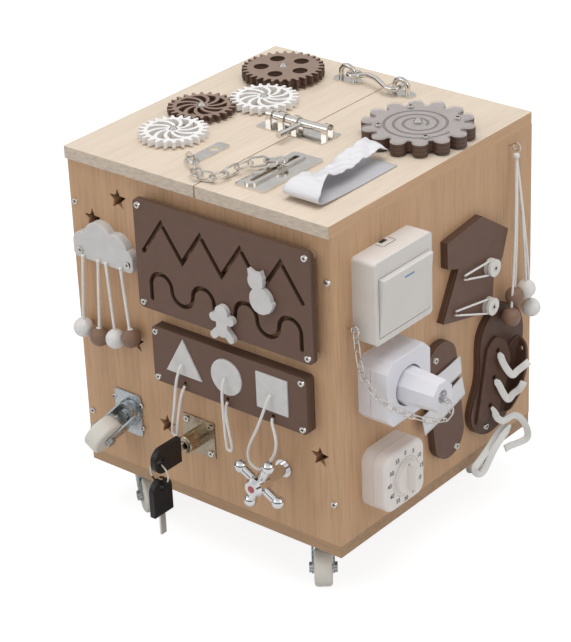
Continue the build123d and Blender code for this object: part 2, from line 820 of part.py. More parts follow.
with BuildPart() as chain_track:
    with BuildSketch(top_face):
        with Locations(track_place):
            RectangleRounded(track_width, track_length, track_width / 10)
    extrude(amount=track_thickness)
    with BuildSketch(top_face.offset(track_thickness)):
        with Locations(slot_place):
            SlotOverall(track_slot_length + 2 * slider_radius, 2 * slider_radius, rotation=90)
    extrude(amount=slider_thickness)
    with BuildSketch(top_face):
        with Locations(slot_place):
            slot_room = 2 * slider_radius - slider_thickness
            SlotOverall(track_slot_length + slot_room, slot_room, rotation=90)
    extrude(amount=track_thickness + slider_thickness / 2, mode=Mode.SUBTRACT)
    with BuildSketch(top_face.offset(track_thickness)):
        with Locations(slot_place):
            SlotOverall(track_slot_length, track_slot_width, rotation=90)
    extrude(amount=slider_thickness, mode=Mode.SUBTRACT)

save_group(
    [
        staple(hook_left),
        staple(hook_right),
        bolt_bracket(bolt_keeper_plate, bolt_keeper_places),
        bolt_bracket(bolt_body_plate, bolt_body_places),
        chain_anchor,
        chain_track,
    ],
    "latch_plates",
)

# Slider of the door chain: a foot inside the track, a neck in the slot, a button and an ear on top
slider_place = (slot_place[0], slot_place[1] + slider_rest)
ear_place = step_from(slider_place, slider_ear_reach, slider_ear_angle)
button_low = slider_ear_height - slider_thickness / 2
foot_radius = slider_radius - slider_thickness / 2 - slide_clearance
with BuildPart() as chain_slider:
    with BuildSketch(top_face.offset(soft_clearance)):
        with Locations(slider_place):
            Circle(foot_radius)
    extrude(amount=track_thickness + slider_thickness / 2 - 2 * soft_clearance)
    with BuildSketch(top_face.offset(soft_clearance)):
        with Locations(slider_place):
            Circle(slider_neck_radius)
    extrude(amount=button_low)
    with BuildSketch(top_face.offset(button_low)):
        with Locations(slider_place):
            Circle(slider_radius)
        with Locations(step_from(slider_place, slider_ear_reach / 2, slider_ear_angle)):
            Rectangle(slider_ear_reach, 2 * slider_ear_radius, rotation=slider_ear_angle)
        with Locations(ear_place):
            Circle(slider_ear_radius)
            Circle(link_wire, mode=Mode.SUBTRACT)
    extrude(amount=slider_thickness)
    with BuildSketch(top_face.offset(button_low + slider_thickness)):
        with Locations(slider_place):
            Circle(slider_neck_radius * 2)
    extrude(amount=slider_thickness / 2, taper=slider_dome_taper)
save(chain_slider, "chain_slider")


def chain_steps(route, count):
    """Joint points along a route, in equal straight steps that end on its last point."""
    samples_per_run = 60
    dense = []
    for start, end in zip(route[:-1], route[1:]):
        for sample in range(samples_per_run):
            dense.append(start + (end - start) * (sample / samples_per_run))
    dense.append(route[-1])
    total = sum((end - start).length for start, end in zip(route[:-1], route[1:]))
    low, high = 0.0, total / count
    for _ in range(40):
        step = (low + high) / 2
        joints = [dense[0]]
        for point in dense:
            if len(joints) <= count and (point - joints[-1]).length >= step:
                joints.append(point)
        if len(joints) > count:
            low = step
        else:
            high = step
    joints = [dense[0]]
    for point in dense:
        if len(joints) < count and (point - joints[-1]).length >= low:
            joints.append(point)
    return joints + [dense[-1]]


def chain_links(route, count, wire, inner_width, slack, first_axis, last_axis):
    """Oval links along a route, each a quarter turn from the one before, hung through holes at both ends."""
    joints = chain_steps(route, count)
    runs = [(end - start).normalized() for start, end in zip(joints[:-1], joints[1:])]
    facings = [runs[0].cross(first_axis).normalized()]
    for before, along in zip(runs[:-1], runs[1:]):
        bend_axis = Axis((0, 0, 0), before.cross(along))
        facings.append(facings[-1].rotate(bend_axis, before.get_angle(along)))
    last_facing = facings[-1].rotate(Axis((0, 0, 0), runs[-1]), 90 * (count - 1))
    twist = last_facing.get_signed_angle(runs[-1].cross(last_axis), runs[-1])
    twist = (twist + 90) % 180 - 90
    with BuildPart() as chain:
        for link, (start, end) in enumerate(zip(joints[:-1], joints[1:])):
            roll = 90 * link + twist * link / (count - 1)
            facing = facings[link].rotate(Axis((0, 0, 0), runs[link]), roll)
            inner_length = (end - start).length + slack
            with BuildSketch(Plane(origin=(start + end) / 2, x_dir=runs[link], z_dir=facing)):
                SlotOverall(inner_length + 2 * wire, inner_width + 2 * wire)
                SlotOverall(inner_length, inner_width, mode=Mode.SUBTRACT)
            extrude(amount=wire / 2, both=True)
    return chain


def hooked_route(first_hole, points, last_hole, wire, slack):
    """A chain's route between two holes, with its end links' wires in the middle of the holes."""
    reach = (wire + slack) / 2
    start = first_hole + (points[0] - first_hole).normalized() * reach
    end = last_hole + (points[-1] - last_hole).normalized() * reach
    return [start] + points + [end]


anchor_tab_y = anchor_place[1] - anchor_length / 2 + latch_plate * 3 / 2
anchor_hole = Vector(anchor_place[0], anchor_tab_y, top_height + anchor_ring_height)
ear_hole = Vector(*ear_place, top_height + slider_ear_height)
chain_points = [Vector(x, y, top_height + rise) for x, y, rise in door_chain_route]
chain_route = hooked_route(anchor_hole, chain_points, ear_hole, link_wire, link_slack)
door_chain = chain_links(
    chain_route, door_chain_links, link_wire, link_inner_width, link_slack, Vector(0, 1, 0), Vector(0, 0, 1)
)
save(door_chain, "door_chain")

# Fabric strap: a ribbon folded back over itself, its upper run in soft waves
strap_place = top_at(strap_place_shares)
strap_level = top_height + strap_thickness / 2 + soft_clearance / 2
strap_plane = Plane(
    origin=(strap_place[0] - strap_width / 2, strap_place[1], strap_level),
    x_dir=(0, 1, 0),
    z_dir=(1, 0, 0),
)
with BuildPart() as top_strap:
    with BuildSketch(strap_plane):
        with BuildLine():
            FilletPolyline(*strap_profile, radius=strap_bend_radii)
        trace(line_width=strap_thickness)
    extrude(amount=strap_width)

# Cloud and its drops
cloud_place = front_at(cloud_place_shares)
with BuildPart() as cloud:
    with BuildSketch(front_face):
        with Locations(cloud_place):
            band = cloud_band_share * cloud_height
            with Locations((0, band / 2)):
                RectangleRounded(cloud_width, band, band / 3)
            for lobe_x, lobe_z, lobe_radius in cloud_lobe_shares:
                with Locations((lobe_x * cloud_width, lobe_z * cloud_height)):
                    Circle(lobe_radius * cloud_width)
    extrude(amount=cloud_thickness)
    fillet(faces().sort_by(Axis.Y)[0].edges(), edge_round)
save(cloud, "cloud")

drop_stand = cloud_thickness + drop_knot_radius + soft_clearance
for drop, (drop_shares, drop_length, drop_spread) in enumerate(
    zip(drop_place_shares, drop_lengths, drop_spreads)
):
    knot_x = cloud_place[0] + drop_shares[0] * cloud_width
    knot_z = cloud_place[1] + drop_shares[1] * cloud_height
    knot = front_face.from_local_coords(Vector(knot_x, knot_z, drop_stand))
    bead = front_face.from_local_coords(Vector(knot_x + drop_spread, knot_z - drop_length, drop_stand))
    with BuildPart() as cloud_drop:
        with Locations(knot):
            Sphere(drop_knot_radius)
        with BuildSketch(Plane(origin=knot, z_dir=bead - knot)):
            Circle(drop_cord_radius)
        extrude(amount=(bead - knot).length)
        with Locations(bead):
            Sphere(drop_bead_radius)
    save(cloud_drop, f"cloud_drop_{drop + 1}")

# Maze board: the zigzag and the wave are slots of one width
maze_place = front_at(maze_place_shares)
maze_back = front_face.offset(maze_stand_off)
maze_front = maze_stand_off + maze_thickness
zigzag_points = [
    (
        maze_place[0] + maze_width * zigzag_reach_share * (2 * run / zigzag_runs - 1),
        maze_place[1] + maze_height * (zigzag_low_share if run % 2 == 0 else zigzag_high_share),
    )
    for run in range(zigzag_runs + 1)
]
wave_z = maze_place[1] + wave_middle_share * maze_height
wave_radius = wave_pitch / 4
wave_count = 2 * wave_humps - 1
wave_start = maze_place[0] + wave_shift - wave_count * wave_radius
wave_end = wave_start + 2 * wave_radius * wave_count
maze_screws = [
    (
        maze_place[0] + side * (maze_width / 2 - maze_screw_inset),
        maze_place[1] + up * (maze_height / 2 - maze_screw_inset),
    )
    for side in (-1, 1)
    for up in (-1, 1)
]
with BuildPart() as maze_board:
    with BuildSketch(maze_back):
        with Locations(maze_place):
            RectangleRounded(maze_width, maze_height, maze_corner)
    extrude(amount=maze_thickness)
    with BuildSketch(maze_back):
        with BuildLine():
            Polyline(*zigzag_points)
        trace(line_width=maze_slot)
        with Locations(*zigzag_points):
            Circle(maze_slot / 2)
    extrude(amount=maze_thickness, mode=Mode.SUBTRACT)
    with BuildSketch(maze_back):
        with BuildLine():
            Line((wave_start, wave_z - wave_leg), (wave_start, wave_z))
            for hump in range(wave_count):
                middle_x = wave_start + (2 * hump + 1) * wave_radius
                rise = wave_radius if hump % 2 == 0 else -wave_radius
                hump_start = (middle_x - wave_radius, wave_z)
                hump_end = (middle_x + wave_radius, wave_z)
                ThreePointArc(hump_start, (middle_x, wave_z + rise), hump_end)
            Line((wave_end, wave_z), (wave_end, wave_z - wave_leg))
        trace(line_width=maze_slot)
        with Locations((wave_start, wave_z - wave_leg), (wave_end, wave_z - wave_leg)):
            Circle(maze_slot / 2)
    extrude(amount=maze_thickness, mode=Mode.SUBTRACT)
save(maze_board, "maze_board")

peg_back = maze_stand_off - figure_gap - peg_disc_thickness
figure_back = maze_front + figure_gap


def peg_slider(figure, place, name):
    """A flat figure on a peg through the board, held by a disc behind it."""
    with BuildPart() as piece:
        extrude(figure, amount=figure_thickness)
        with BuildSketch(front_face.offset(peg_back)):
            with Locations(place):
                Circle(peg_radius)
        extrude(amount=figure_back - peg_back)
        with BuildSketch(front_face.offset(peg_back)):
            with Locations(place):
                Circle(peg_disc_radius)
        extrude(amount=peg_disc_thickness)
    save(piece, name)


cat_place = zigzag_points[cat_run]
with BuildSketch(front_face.offset(figure_back)) as cat_shape:
    with Locations(cat_place):
        with Locations((cat_tail / 2, -cat_body_length / 3)):
            Ellipse(cat_body_width / 2, cat_body_length / 2)
        with Locations((-cat_tail / 2, cat_head_share * cat_body_length)):
            Circle(cat_head_radius)
            for ear_side, ear_tilt in ((-1, 35), (1, -10)):
                ear_x = ear_side * cat_ear_shares[0] * cat_head_radius
                with Locations((ear_x, cat_ear_shares[1] * cat_head_radius)):
                    RegularPolygon(cat_ear, 3, rotation=90 + ear_tilt)
        with Locations((cat_body_width / 2, -cat_body_length / 2)):
            SlotOverall(cat_body_length / 2, cat_tail, rotation=60)
peg_slider(cat_shape.sketch, cat_place, "cat_slider")

man_place = (wave_start + wave_count * wave_radius, wave_z - wave_radius)
with BuildSketch(front_face.offset(figure_back)) as man_shape:
    with Locations(man_place):
        with Locations((0, man_height / 2 - man_head_radius)):
            Circle(man_head_radius)
        SlotOverall(man_height - man_head_radius, man_body_width, rotation=90)
        with Locations((0, man_arm_width / 2)):
            SlotOverall(man_arm_span, man_arm_width)
        for leg_side in (-1, 1):
            SlotCenterPoint(
                (leg_side * man_leg_spread / 2, -man_height / 4),
                (leg_side * man_leg_spread, man_leg_width / 2 - man_height / 2),
                man_leg_width,
            )
peg_slider(man_shape.sketch, man_place, "man_slider")


def cord_tube(points, radius):
    """A round cord along a route of straight runs joined by the largest arcs that the runs allow."""
    bends = []
    for before, here, after in zip(points[:-2], points[1:-1], points[2:]):
        turn = math.radians((here - before).get_angle(after - here))
        run = min((here - before).length, (after - here).length)
        bends.append(cord_bend_share * run / math.tan(turn / 2))
    with BuildPart() as tube:
        with BuildLine() as path:
            FilletPolyline(*points, radius=bends)
        with BuildSketch(Plane(origin=path.line @ 0, z_dir=path.line % 0)):
            Circle(radius)
        sweep(path=path.line)
    length = path.wires()[0].length
    share = tube.part.volume / (math.pi * radius**2 * length)
    print("cord length", round(length, 1), "least bend", round(min(bends), 2), "volume", round(share, 4))
    return tube


# Shape sorter: recesses for three shapes, each with a cord that returns to a hole below
sorter_place = front_at(sorter_place_shares)
shape_places = [
    (sorter_place[0] + share * sorter_width, sorter_place[1] + shape_raise) for share in shape_place_shares
]
shape_seat = sorter_thickness - sorter_recess


def shape_outlines(plane, grow):
    """The triangle, the disc and the square, each grown by a clearance."""
    outlines = []
    triangle_height = triangle_width * math.sqrt(3) / 2
    with BuildSketch(plane) as triangle:
        with Locations((shape_places[0][0], shape_places[0][1] - shape_raise)):
            RegularPolygon(triangle_height * 2 / 3 + 2 * grow, 3, rotation=90)
    outlines.append(triangle.sketch)
    with BuildSketch(plane) as disc:
        with Locations(shape_places[1]):
            Circle(shape_size / 2 + grow)
    outlines.append(disc.sketch)
    with BuildSketch(plane) as square:
        with Locations(shape_places[2]):
            Rectangle(shape_size + 2 * grow, shape_size + 2 * grow)
    outlines.append(square.sketch)
    return outlines


sorter_screws = [
    (
        sorter_place[0] + side * (sorter_width / 2 - sorter_screw_inset),
        sorter_place[1] + up * (sorter_height / 2 - sorter_screw_inset),
    )
    for side in (-1, 1)
    for up in (-1, 1)
]
with BuildPart() as sorter_board:
    with BuildSketch(front_face):
        with Locations(sorter_place):
            RectangleRounded(sorter_width, sorter_height, sorter_corner)
    extrude(amount=sorter_thickness)
    for recess in shape_outlines(front_face.offset(sorter_thickness), slide_clearance):
        extrude(recess, amount=-sorter_recess, mode=Mode.SUBTRACT)
    with BuildSketch(front_face.offset(sorter_thickness)):
        with Locations(*[(place[0], place[1] - cord_hole_drop) for place in shape_places]):
            Circle(cord_hole_radius)
    extrude(amount=-sorter_recess, mode=Mode.SUBTRACT)
save(sorter_board, "sorter_board")

shape_names = ("shape_triangle", "shape_disc", "shape_square")
for shape_name, outline in zip(shape_names, shape_outlines(front_face.offset(shape_seat), 0)):
    with BuildPart() as shape:
        extrude(outline, amount=shape_thickness)
        fillet(faces().sort_by(Axis.Y)[0].edges(), edge_round)
    save(shape, shape_name)

shape_cords = []
for cord_route in (triangle_cord_route, disc_cord_route, square_cord_route):
    cord_points = [front_face.from_local_coords(Vector(*point)) for point in cord_route]
    shape_cords.append(cord_tube(cord_points, shape_cord_radius))
save_group(shape_cords, "shape_cords")

# Casters: made once with the mounting face at zero and the swivel axis along Z, then placed
axle_level = caster_height - caster_wheel_radius
fork_top = caster_plate_thickness + caster_race_height + soft_clearance
leg_offset = caster_wheel_width / 2 + caster_side_gap
fork_toe = axle_level + caster_nut_radius * fork_leg_shares[2]
with BuildPart() as caster_plate:
    with BuildSketch():
        RectangleRounded(caster_plate_width, caster_plate_length, caster_pin_radius)
    extrude(amount=caster_plate_thickness)
    with BuildSketch(Plane.XY.offset(caster_plate_thickness)):
        Circle(caster_race_radius)
    extrude(amount=caster_race_height, taper=caster_race_taper)
    with BuildSketch(Plane.XY.offset(caster_plate_thickness)):
        Circle(caster_pin_radius)
    pin_length = caster_race_height + caster_fork_thickness + 2 * soft_clearance
    extrude(amount=pin_length + caster_fork_thickness)
    with BuildSketch(Plane.XY.offset(caster_plate_thickness + pin_length)):
        Circle(caster_pin_head)
    extrude(amount=caster_fork_thickness)

with BuildPart() as caster_fork:
    with BuildSketch(Plane.XY.offset(fork_top)):
        Circle(caster_race_radius)
        Circle(caster_pin_radius + running_clearance, mode=Mode.SUBTRACT)
    extrude(amount=caster_fork_thickness)
    for side in (-1, 1):
        leg_plane = Plane(
            origin=(0, side * leg_offset, 0), x_dir=(1, 0, 0), z_dir=(0, side, 0)
        )
        leg_up = -side
        with BuildSketch(leg_plane):
            with BuildLine():
                Polyline(
                    (-caster_race_radius * fork_leg_shares[0], leg_up * fork_top),
                    (caster_race_radius * fork_leg_shares[1], leg_up * fork_top),
                    (caster_trail + caster_nut_radius, leg_up * axle_level),
                    (caster_trail - caster_nut_radius, leg_up * fork_toe),
                    close=True,
                )
            make_face()
            with Locations((caster_trail, leg_up * axle_level)):
                Circle(caster_nut_radius * fork_eye_share)
        extrude(amount=caster_fork_thickness)
        with BuildSketch(leg_plane.offset(caster_fork_thickness)):
            with Locations((caster_trail, leg_up * axle_level)):
                Circle(caster_nut_radius)
        extrude(amount=caster_nut_height)
    axle_plane = Plane(origin=(caster_trail, 0, axle_level), x_dir=(1, 0, 0), z_dir=(0, 1, 0))
    with BuildSketch(axle_plane):
        Circle(caster_axle_radius)
    extrude(amount=leg_offset, both=True)

with BuildPart() as caster_wheel:
    with BuildSketch(axle_plane):
        Circle(caster_wheel_radius)
        Circle(caster_axle_radius + running_clearance, mode=Mode.SUBTRACT)
    extrude(amount=caster_wheel_width / 2, both=True)
    fillet(edges().filter_by(GeomType.CIRCLE).group_by(SortBy.RADIUS)[-1], caster_wheel_round)


def place_copy(piece, plane):
    """A copy of a piece, moved from the origin to a plane."""
    with BuildPart() as copy:
        with Locations(plane.location):
            add(piece.part)
    return copy


def caster_plane(origin, outward, trail):
    """The frame of a caster: its swivel axis points outward and its wheel trails along a direction."""
    return Plane(origin=origin, x_dir=trail, z_dir=outward)


front_caster = front_face.from_local_coords(Vector(*front_at(front_caster_shares), 0))
front_trail_x, front_trail_z = polar(1, front_caster_angle)
caster_names = ["front"]
caster_frames = [(front_caster, (0, -1, 0), (front_trail_x, 0, front_trail_z))]
base_corners = [(-1, -1), (1, -1), (1, 1), (-1, 1)]
for corner, ((side_x, side_y), trail_angle) in enumerate(zip(base_corners, caster_trail_angles)):
    corner_x = side_x * (box_width / 2 - caster_inset_x)
    corner_y = side_y * (box_depth / 2 - caster_inset_y)
    caster_names.append(str(corner + 1))
    caster_frames.append((Vector(corner_x, corner_y, caster_height), (0, 0, -1), (*polar(1, trail_angle), 0)))
plates = []
for caster_name, (origin, outward, trail) in zip(caster_names, caster_frames):
    plates.append(place_copy(caster_plate, caster_plane(origin, outward, (1, 0, 0))))
    save(place_copy(caster_fork, caster_plane(origin, outward, trail)), f"caster_fork_{caster_name}")
    save(place_copy(caster_wheel, caster_plane(origin, outward, trail)), f"caster_wheel_{caster_name}")
save_group(plates, "caster_plates")

# Lock: a square plate and a barrel with a round keyway
lock_place = front_at(lock_place_shares)
barrel_end = lock_plate_thickness + lock_barrel_length
with BuildPart() as lock_body:
    with BuildSketch(front_face):
        with Locations(lock_place):
            RectangleRounded(lock_plate_size, lock_plate_size, edge_round)
    extrude(amount=lock_plate_thickness)
    with BuildSketch(front_face.offset(lock_plate_thickness)):
        with Locations(lock_place):
            Circle(lock_barrel_radius)
    extrude(amount=lock_barrel_length)
    chamfer(faces().sort_by(Axis.Y)[0].edges(), edge_round)
    with BuildSketch(front_face.offset(barrel_end)):
        with Locations(lock_place):
            Circle(keyway_radius)
    extrude(amount=-key_slot_depth, mode=Mode.SUBTRACT)
save(lock_body, "lock_body")


def make_key(plane, blade_length):
    """A key in a plane: its blade starts at the origin and its head is rounded at the far end."""
    head_middle = blade_length + key_head_length / 2
    with BuildPart() as key:
        with BuildSketch(plane):
            with Locations((blade_length / 2 + edge_round, 0)):
                Rectangle(blade_length + 2 * edge_round, key_blade_width)
        extrude(amount=key_blade_thickness / 2, both=True)
        with BuildSketch(plane):
            with Locations((head_middle, 0)):
                Rectangle(key_head_length, key_head_width)
            fillet(vertices().sort_by(Axis.X)[-2:], key_head_round)
            with Locations((blade_length + key_head_length - key_hole_inset, 0)):
                Circle(key_hole_radius, mode=Mode.SUBTRACT)
        extrude(amount=key_head_thickness / 2, both=True)
    return key


key_start = front_face.from_local_coords(Vector(*lock_place, barrel_end - key_insertion))
lock_key = make_key(Plane(origin=key_start, x_dir=(0, -1, 0), z_dir=(1, 0, 0)), key_blade_length)
save(lock_key, "lock_key")

key_eye = key_start + Vector(0, -(key_blade_length + key_head_length - key_hole_inset), 0)
ring_drop = key_ring_radius - math.sqrt(key_ring_radius**2 - key_head_thickness**2 / 4)
ring_sag = key_hole_radius - key_ring_wire - soft_clearance - ring_drop
ring_top = key_eye - Vector(0, 0, ring_sag)
spare_eye = ring_top - Vector(0, 0, 2 * key_ring_radius + ring_sag)
spare_tip = spare_eye - Vector(0, 0, spare_blade_length + key_head_length - key_hole_inset)
spare_key = make_key(Plane(origin=spare_tip, x_dir=(0, 0, 1), z_dir=(1, 0, 0)), spare_blade_length)
with BuildPart() as key_ring:
    with Locations(Plane(origin=(key_eye + spare_eye) / 2, z_dir=(0, 1, 0)).location):
        Torus(key_ring_radius, key_ring_wire)
save_group([spare_key, key_ring], "spare_key")

# Tap: a rose and stem with a spindle, and a handle with four arms that turns on it
tap_place = front_at(tap_place_shares)
stem_end = tap_rose_thickness + tap_stem_length
with BuildPart() as tap_stem:
    with BuildSketch(front_face):
        with Locations(tap_place):
            Circle(tap_rose_radius)
    extrude(amount=tap_rose_thickness)
    with BuildSketch(front_face.offset(tap_rose_thickness)):
        with Locations(tap_place):
            Circle(tap_stem_radius)
    extrude(amount=tap_stem_length)
    with BuildSketch(front_face.offset(stem_end)):
        with Locations(tap_place):
            Circle(tap_spindle_radius)
    extrude(amount=tap_hub_length / 2)
save(tap_stem, "tap_stem")

hub_start = stem_end + soft_clearance
with BuildPart() as tap_handle:
    with BuildSketch(front_face.offset(hub_start)):
        with Locations(tap_place):
            Circle(tap_hub_radius)
    extrude(amount=tap_hub_length)
    with BuildSketch(front_face.offset(hub_start + tap_hub_length)):
        with Locations(tap_place):
            Circle(tap_hub_radius)
    extrude(amount=tap_cap_length, taper=tap_cap_taper)
    arm_middle = front_face.from_local_coords(Vector(*tap_place, hub_start + tap_hub_length / 2))
    for arm in range(4):
        reach_x, reach_z = polar(1, tap_arm_angle + 90 * arm)
        arm_plane = Plane(origin=arm_middle, x_dir=(0, -1, 0), z_dir=(reach_x, 0, reach_z))
        with BuildSketch(arm_plane):
            Circle(tap_arm_radius)
        extrude(amount=tap_arm_length - tap_arm_end_radius)
        with Locations(arm_plane.offset(tap_arm_length - tap_arm_end_radius).location):
            Sphere(tap_arm_end_radius)
    with BuildSketch(front_face.offset(hub_start)):
        with Locations(tap_place):
            Circle(tap_spindle_radius + running_clearance)
    extrude(amount=tap_hub_length / 2, mode=Mode.SUBTRACT)
save(tap_handle, "tap_handle")

# Light switch: a box with a pocket, and a rocker that stands tilted in it on two pivot pins
switch_place = right_at(switch_place_shares)
rocker_place = (switch_place[0], switch_place[1] - rocker_drop)
rocker_pivot = right_face.from_local_coords(Vector(*rocker_place, switch_depth - rocker_pivot_depth))
rocker_pin_span = rocker_width + 2 * rocker_pin_length
with BuildPart() as switch_box:
    with BuildSketch(right_face):
        with Locations(switch_place):
            RectangleRounded(switch_width, switch_height, switch_corner)
    extrude(amount=switch_depth)
    fillet(faces().sort_by(Axis.X)[-1].edges(), edge_round)
    with BuildSketch(right_face.offset(switch_depth)):
        with Locations(rocker_place):
            Rectangle(rocker_width + 2 * rocker_gap, rocker_height + 2 * rocker_gap)
    extrude(amount=-rocker_pocket, mode=Mode.SUBTRACT)
    with Locations(Location(rocker_pivot, (90, 0, 0))):
        bore_span = rocker_pin_span + 2 * soft_clearance
        Cylinder(rocker_pin_radius + running_clearance, bore_span, mode=Mode.SUBTRACT)
save(switch_box, "switch_box")

rocker_centre = right_face.from_local_coords(Vector(*rocker_place, switch_depth))
with BuildPart() as switch_rocker:
    with Locations(Location(rocker_centre, (0, rocker_tilt, 0))):
        Box(rocker_thickness, rocker_width, rocker_height)
    fillet(faces().sort_by(Axis.X)[-1].edges(), edge_round)
    with Locations(Location(rocker_pivot, (90, 0, 0))):
        Cylinder(rocker_pin_radius, rocker_pin_span)
save(switch_rocker, "switch_rocker")

# Wall socket with a round recess, and an eight-sided plug with two pins
socket_place = right_at(socket_place_shares)
recess_floor = socket_depth - socket_recess_depth
pin_places = [(socket_place[0] + side * plug_pin_spacing / 2, socket_place[1]) for side in (-1, 1)]
with BuildPart() as wall_socket:
    with BuildSketch(right_face):
        with Locations(socket_place):
            Rectangle(socket_size, socket_size)
        chamfer(vertices(), socket_corner)
    extrude(amount=socket_depth)
    fillet(faces().sort_by(Axis.X)[-1].edges(), edge_round)
    with BuildSketch(right_face.offset(socket_seam_share * socket_depth)):
        with Locations(socket_place):
            Rectangle(socket_size, socket_size)
            Rectangle(socket_size - 2 * socket_seam, socket_size - 2 * socket_seam, mode=Mode.SUBTRACT)
    extrude(amount=socket_seam, mode=Mode.SUBTRACT)
    with BuildSketch(right_face.offset(socket_depth)):
        with Locations(socket_place):
            Circle(socket_recess_radius)
    extrude(amount=-socket_recess_depth, mode=Mode.SUBTRACT)
    with BuildSketch(right_face.offset(recess_floor)):
        with Locations(*pin_places):
            Circle(plug_pin_radius + slide_clearance)
    extrude(amount=-plug_pin_length - cut_overrun, mode=Mode.SUBTRACT)
save(wall_socket, "wall_socket")

plug_start = recess_floor + soft_clearance
plug_end = plug_start + plug_length
with BuildPart() as plug:
    with BuildSketch(right_face.offset(plug_start)):
        with Locations(socket_place):
            RegularPolygon(plug_base_radius, plug_sides, rotation=180 / plug_sides)
    extrude(amount=plug_length, taper=plug_taper)
    with BuildSketch(right_face.offset(plug_start)):
        with Locations(*pin_places):
            Circle(plug_pin_radius)
    extrude(amount=-plug_pin_length)
    with BuildSketch(right_face.offset(plug_end)):
        with Locations(socket_place):
            Circle(plug_mouth_radius)
    extrude(amount=-plug_mouth_depth, mode=Mode.SUBTRACT)
    bar_centre = right_face.from_local_coords(Vector(*socket_place, plug_end - plug_bar_inset))
    with Locations(Location(bar_centre, (90, 0, 0))):
        Cylinder(plug_bar_radius, 2 * plug_mouth_radius + 2 * plug_bar_radius)
save(plug, "plug")


def right_points(route):
    """A route on the right side, in the frame of the object."""
    return [right_face.from_local_coords(Vector(*point)) for point in route]


# Chain of the plug, from an eye on the panel to the bar in the plug's mouth
plug_eye = right_at(plug_eye_shares)
eye_out = eye_shank + eye_ring_radius
plug_chain_points = right_points(plug_chain_route)
grip_reach = plug_bar_radius + plug_link_wire / 2 + soft_clearance
bar_grip = (bar_centre - plug_chain_points[-1]).normalized() * grip_reach
plug_route = hooked_route(
    right_face.from_local_coords(Vector(*plug_eye, eye_out)),
    plug_chain_points,
    bar_centre + bar_grip,
    plug_link_wire,
    plug_link_slack,
)
plug_chain = chain_links(
    plug_route,
    plug_chain_links,
    plug_link_wire,
    plug_link_inner_width,
    plug_link_slack,
    Vector(0, 1, 0),
    Vector(0, 0, 1),
)
save(plug_chain, "plug_chain")

# Timer: a case with a seam, and a dial with a grip that turns on a spindle
timer_place = right_at(timer_place_shares)
with BuildPart() as timer_case:
    with BuildSketch(right_face):
        with Locations(timer_place):
            RectangleRounded(timer_size, timer_size, timer_corner)
    extrude(amount=timer_depth)
    fillet(faces().sort_by(Axis.X)[-1].edges(), timer_round)
    with BuildSketch(right_face.offset(timer_seam_share * timer_depth)):
        with Locations(timer_place):
            Rectangle(timer_size, timer_size)
            seam_size = timer_size - 2 * timer_seam
            RectangleRounded(seam_size, seam_size, timer_corner - timer_seam, mode=Mode.SUBTRACT)
    extrude(amount=timer_seam, mode=Mode.SUBTRACT)
    with BuildSketch(right_face.offset(timer_depth)):
        with Locations(timer_place):
            Circle(timer_spindle_radius + running_clearance)
    extrude(amount=-timer_spindle_length - cut_overrun, mode=Mode.SUBTRACT)
save(timer_case, "timer_case")

dial_start = timer_depth + soft_clearance
with BuildPart() as timer_knob:
    with BuildSketch(right_face.offset(dial_start)):
        with Locations(timer_place):
            Circle(timer_dial_radius)
    extrude(amount=timer_dial_thickness, taper=timer_dial_taper)
    with BuildSketch(right_face.offset(dial_start)):
        with Locations(timer_place):
            SlotOverall(2 * timer_dial_radius - timer_grip_width, timer_grip_width, rotation=90)
    extrude(amount=timer_dial_thickness + timer_grip_height, taper=timer_grip_taper)
    with BuildSketch(right_face.offset(dial_start)):
        with Locations(timer_place):
            Circle(timer_spindle_radius)
    extrude(amount=-timer_spindle_length)
save(timer_knob, "timer_knob")

# Boards: a coat, a board for straps and the sole of a shoe
with BuildPart() as coat_board:
    with BuildSketch(right_face):
        with BuildLine():
            Polyline(*coat_outline, close=True)
        make_face()
        fillet(vertices(), edge_round)
    extrude(amount=side_board_thickness)
with BuildPart() as velcro_board:
    with BuildSketch(right_face):
        with Locations(velcro_centre):
            SlotOverall(velcro_length, velcro_width, rotation=velcro_angle)
    extrude(amount=side_board_thickness)
with BuildPart() as shoe_board:
    with BuildSketch(right_face):
        with BuildLine():
            Spline(*shoe_outline, periodic=True)
        make_face()
    extrude(amount=side_board_thickness)
save_group([coat_board, velcro_board, shoe_board], "side_boards")

# Coat buttons with a groove, and the elastic loops round them
with BuildPart() as coat_buttons:
    groove_start = side_board_thickness + button_base
    for start, radius, height in (
        (side_board_thickness, button_radius, button_base),
        (groove_start, button_waist_radius, button_groove),
        (groove_start + button_groove, button_radius, button_rim),
    ):
        with BuildSketch(right_face.offset(start)):
            with Locations(*button_places):
                Circle(radius)
        extrude(amount=height)
save(coat_buttons, "coat_buttons")

loop_out = groove_start + button_groove / 2
loop_reach = (button_waist_radius + loop_radius + soft_clearance) / math.cos(math.radians(45 / 2))
coat_loops = []
for hook_place, button_place in zip(loop_hook_places, button_places):
    toward_hook = math.degrees(math.atan2(hook_place[1] - button_place[1], hook_place[0] - button_place[0]))
    loop_route = [step_from(hook_place, 2 * loop_radius, toward_hook - 90)]
    for bend in range(6):
        loop_route.append(step_from(button_place, loop_reach, toward_hook - 135 / 2 - 45 * bend))
    loop_route.append(step_from(hook_place, 2 * loop_radius, toward_hook + 90))
    coat_loops.append(cord_tube(right_points([(*point, loop_out) for point in loop_route]), loop_radius))
save_group(coat_loops, "coat_loops")

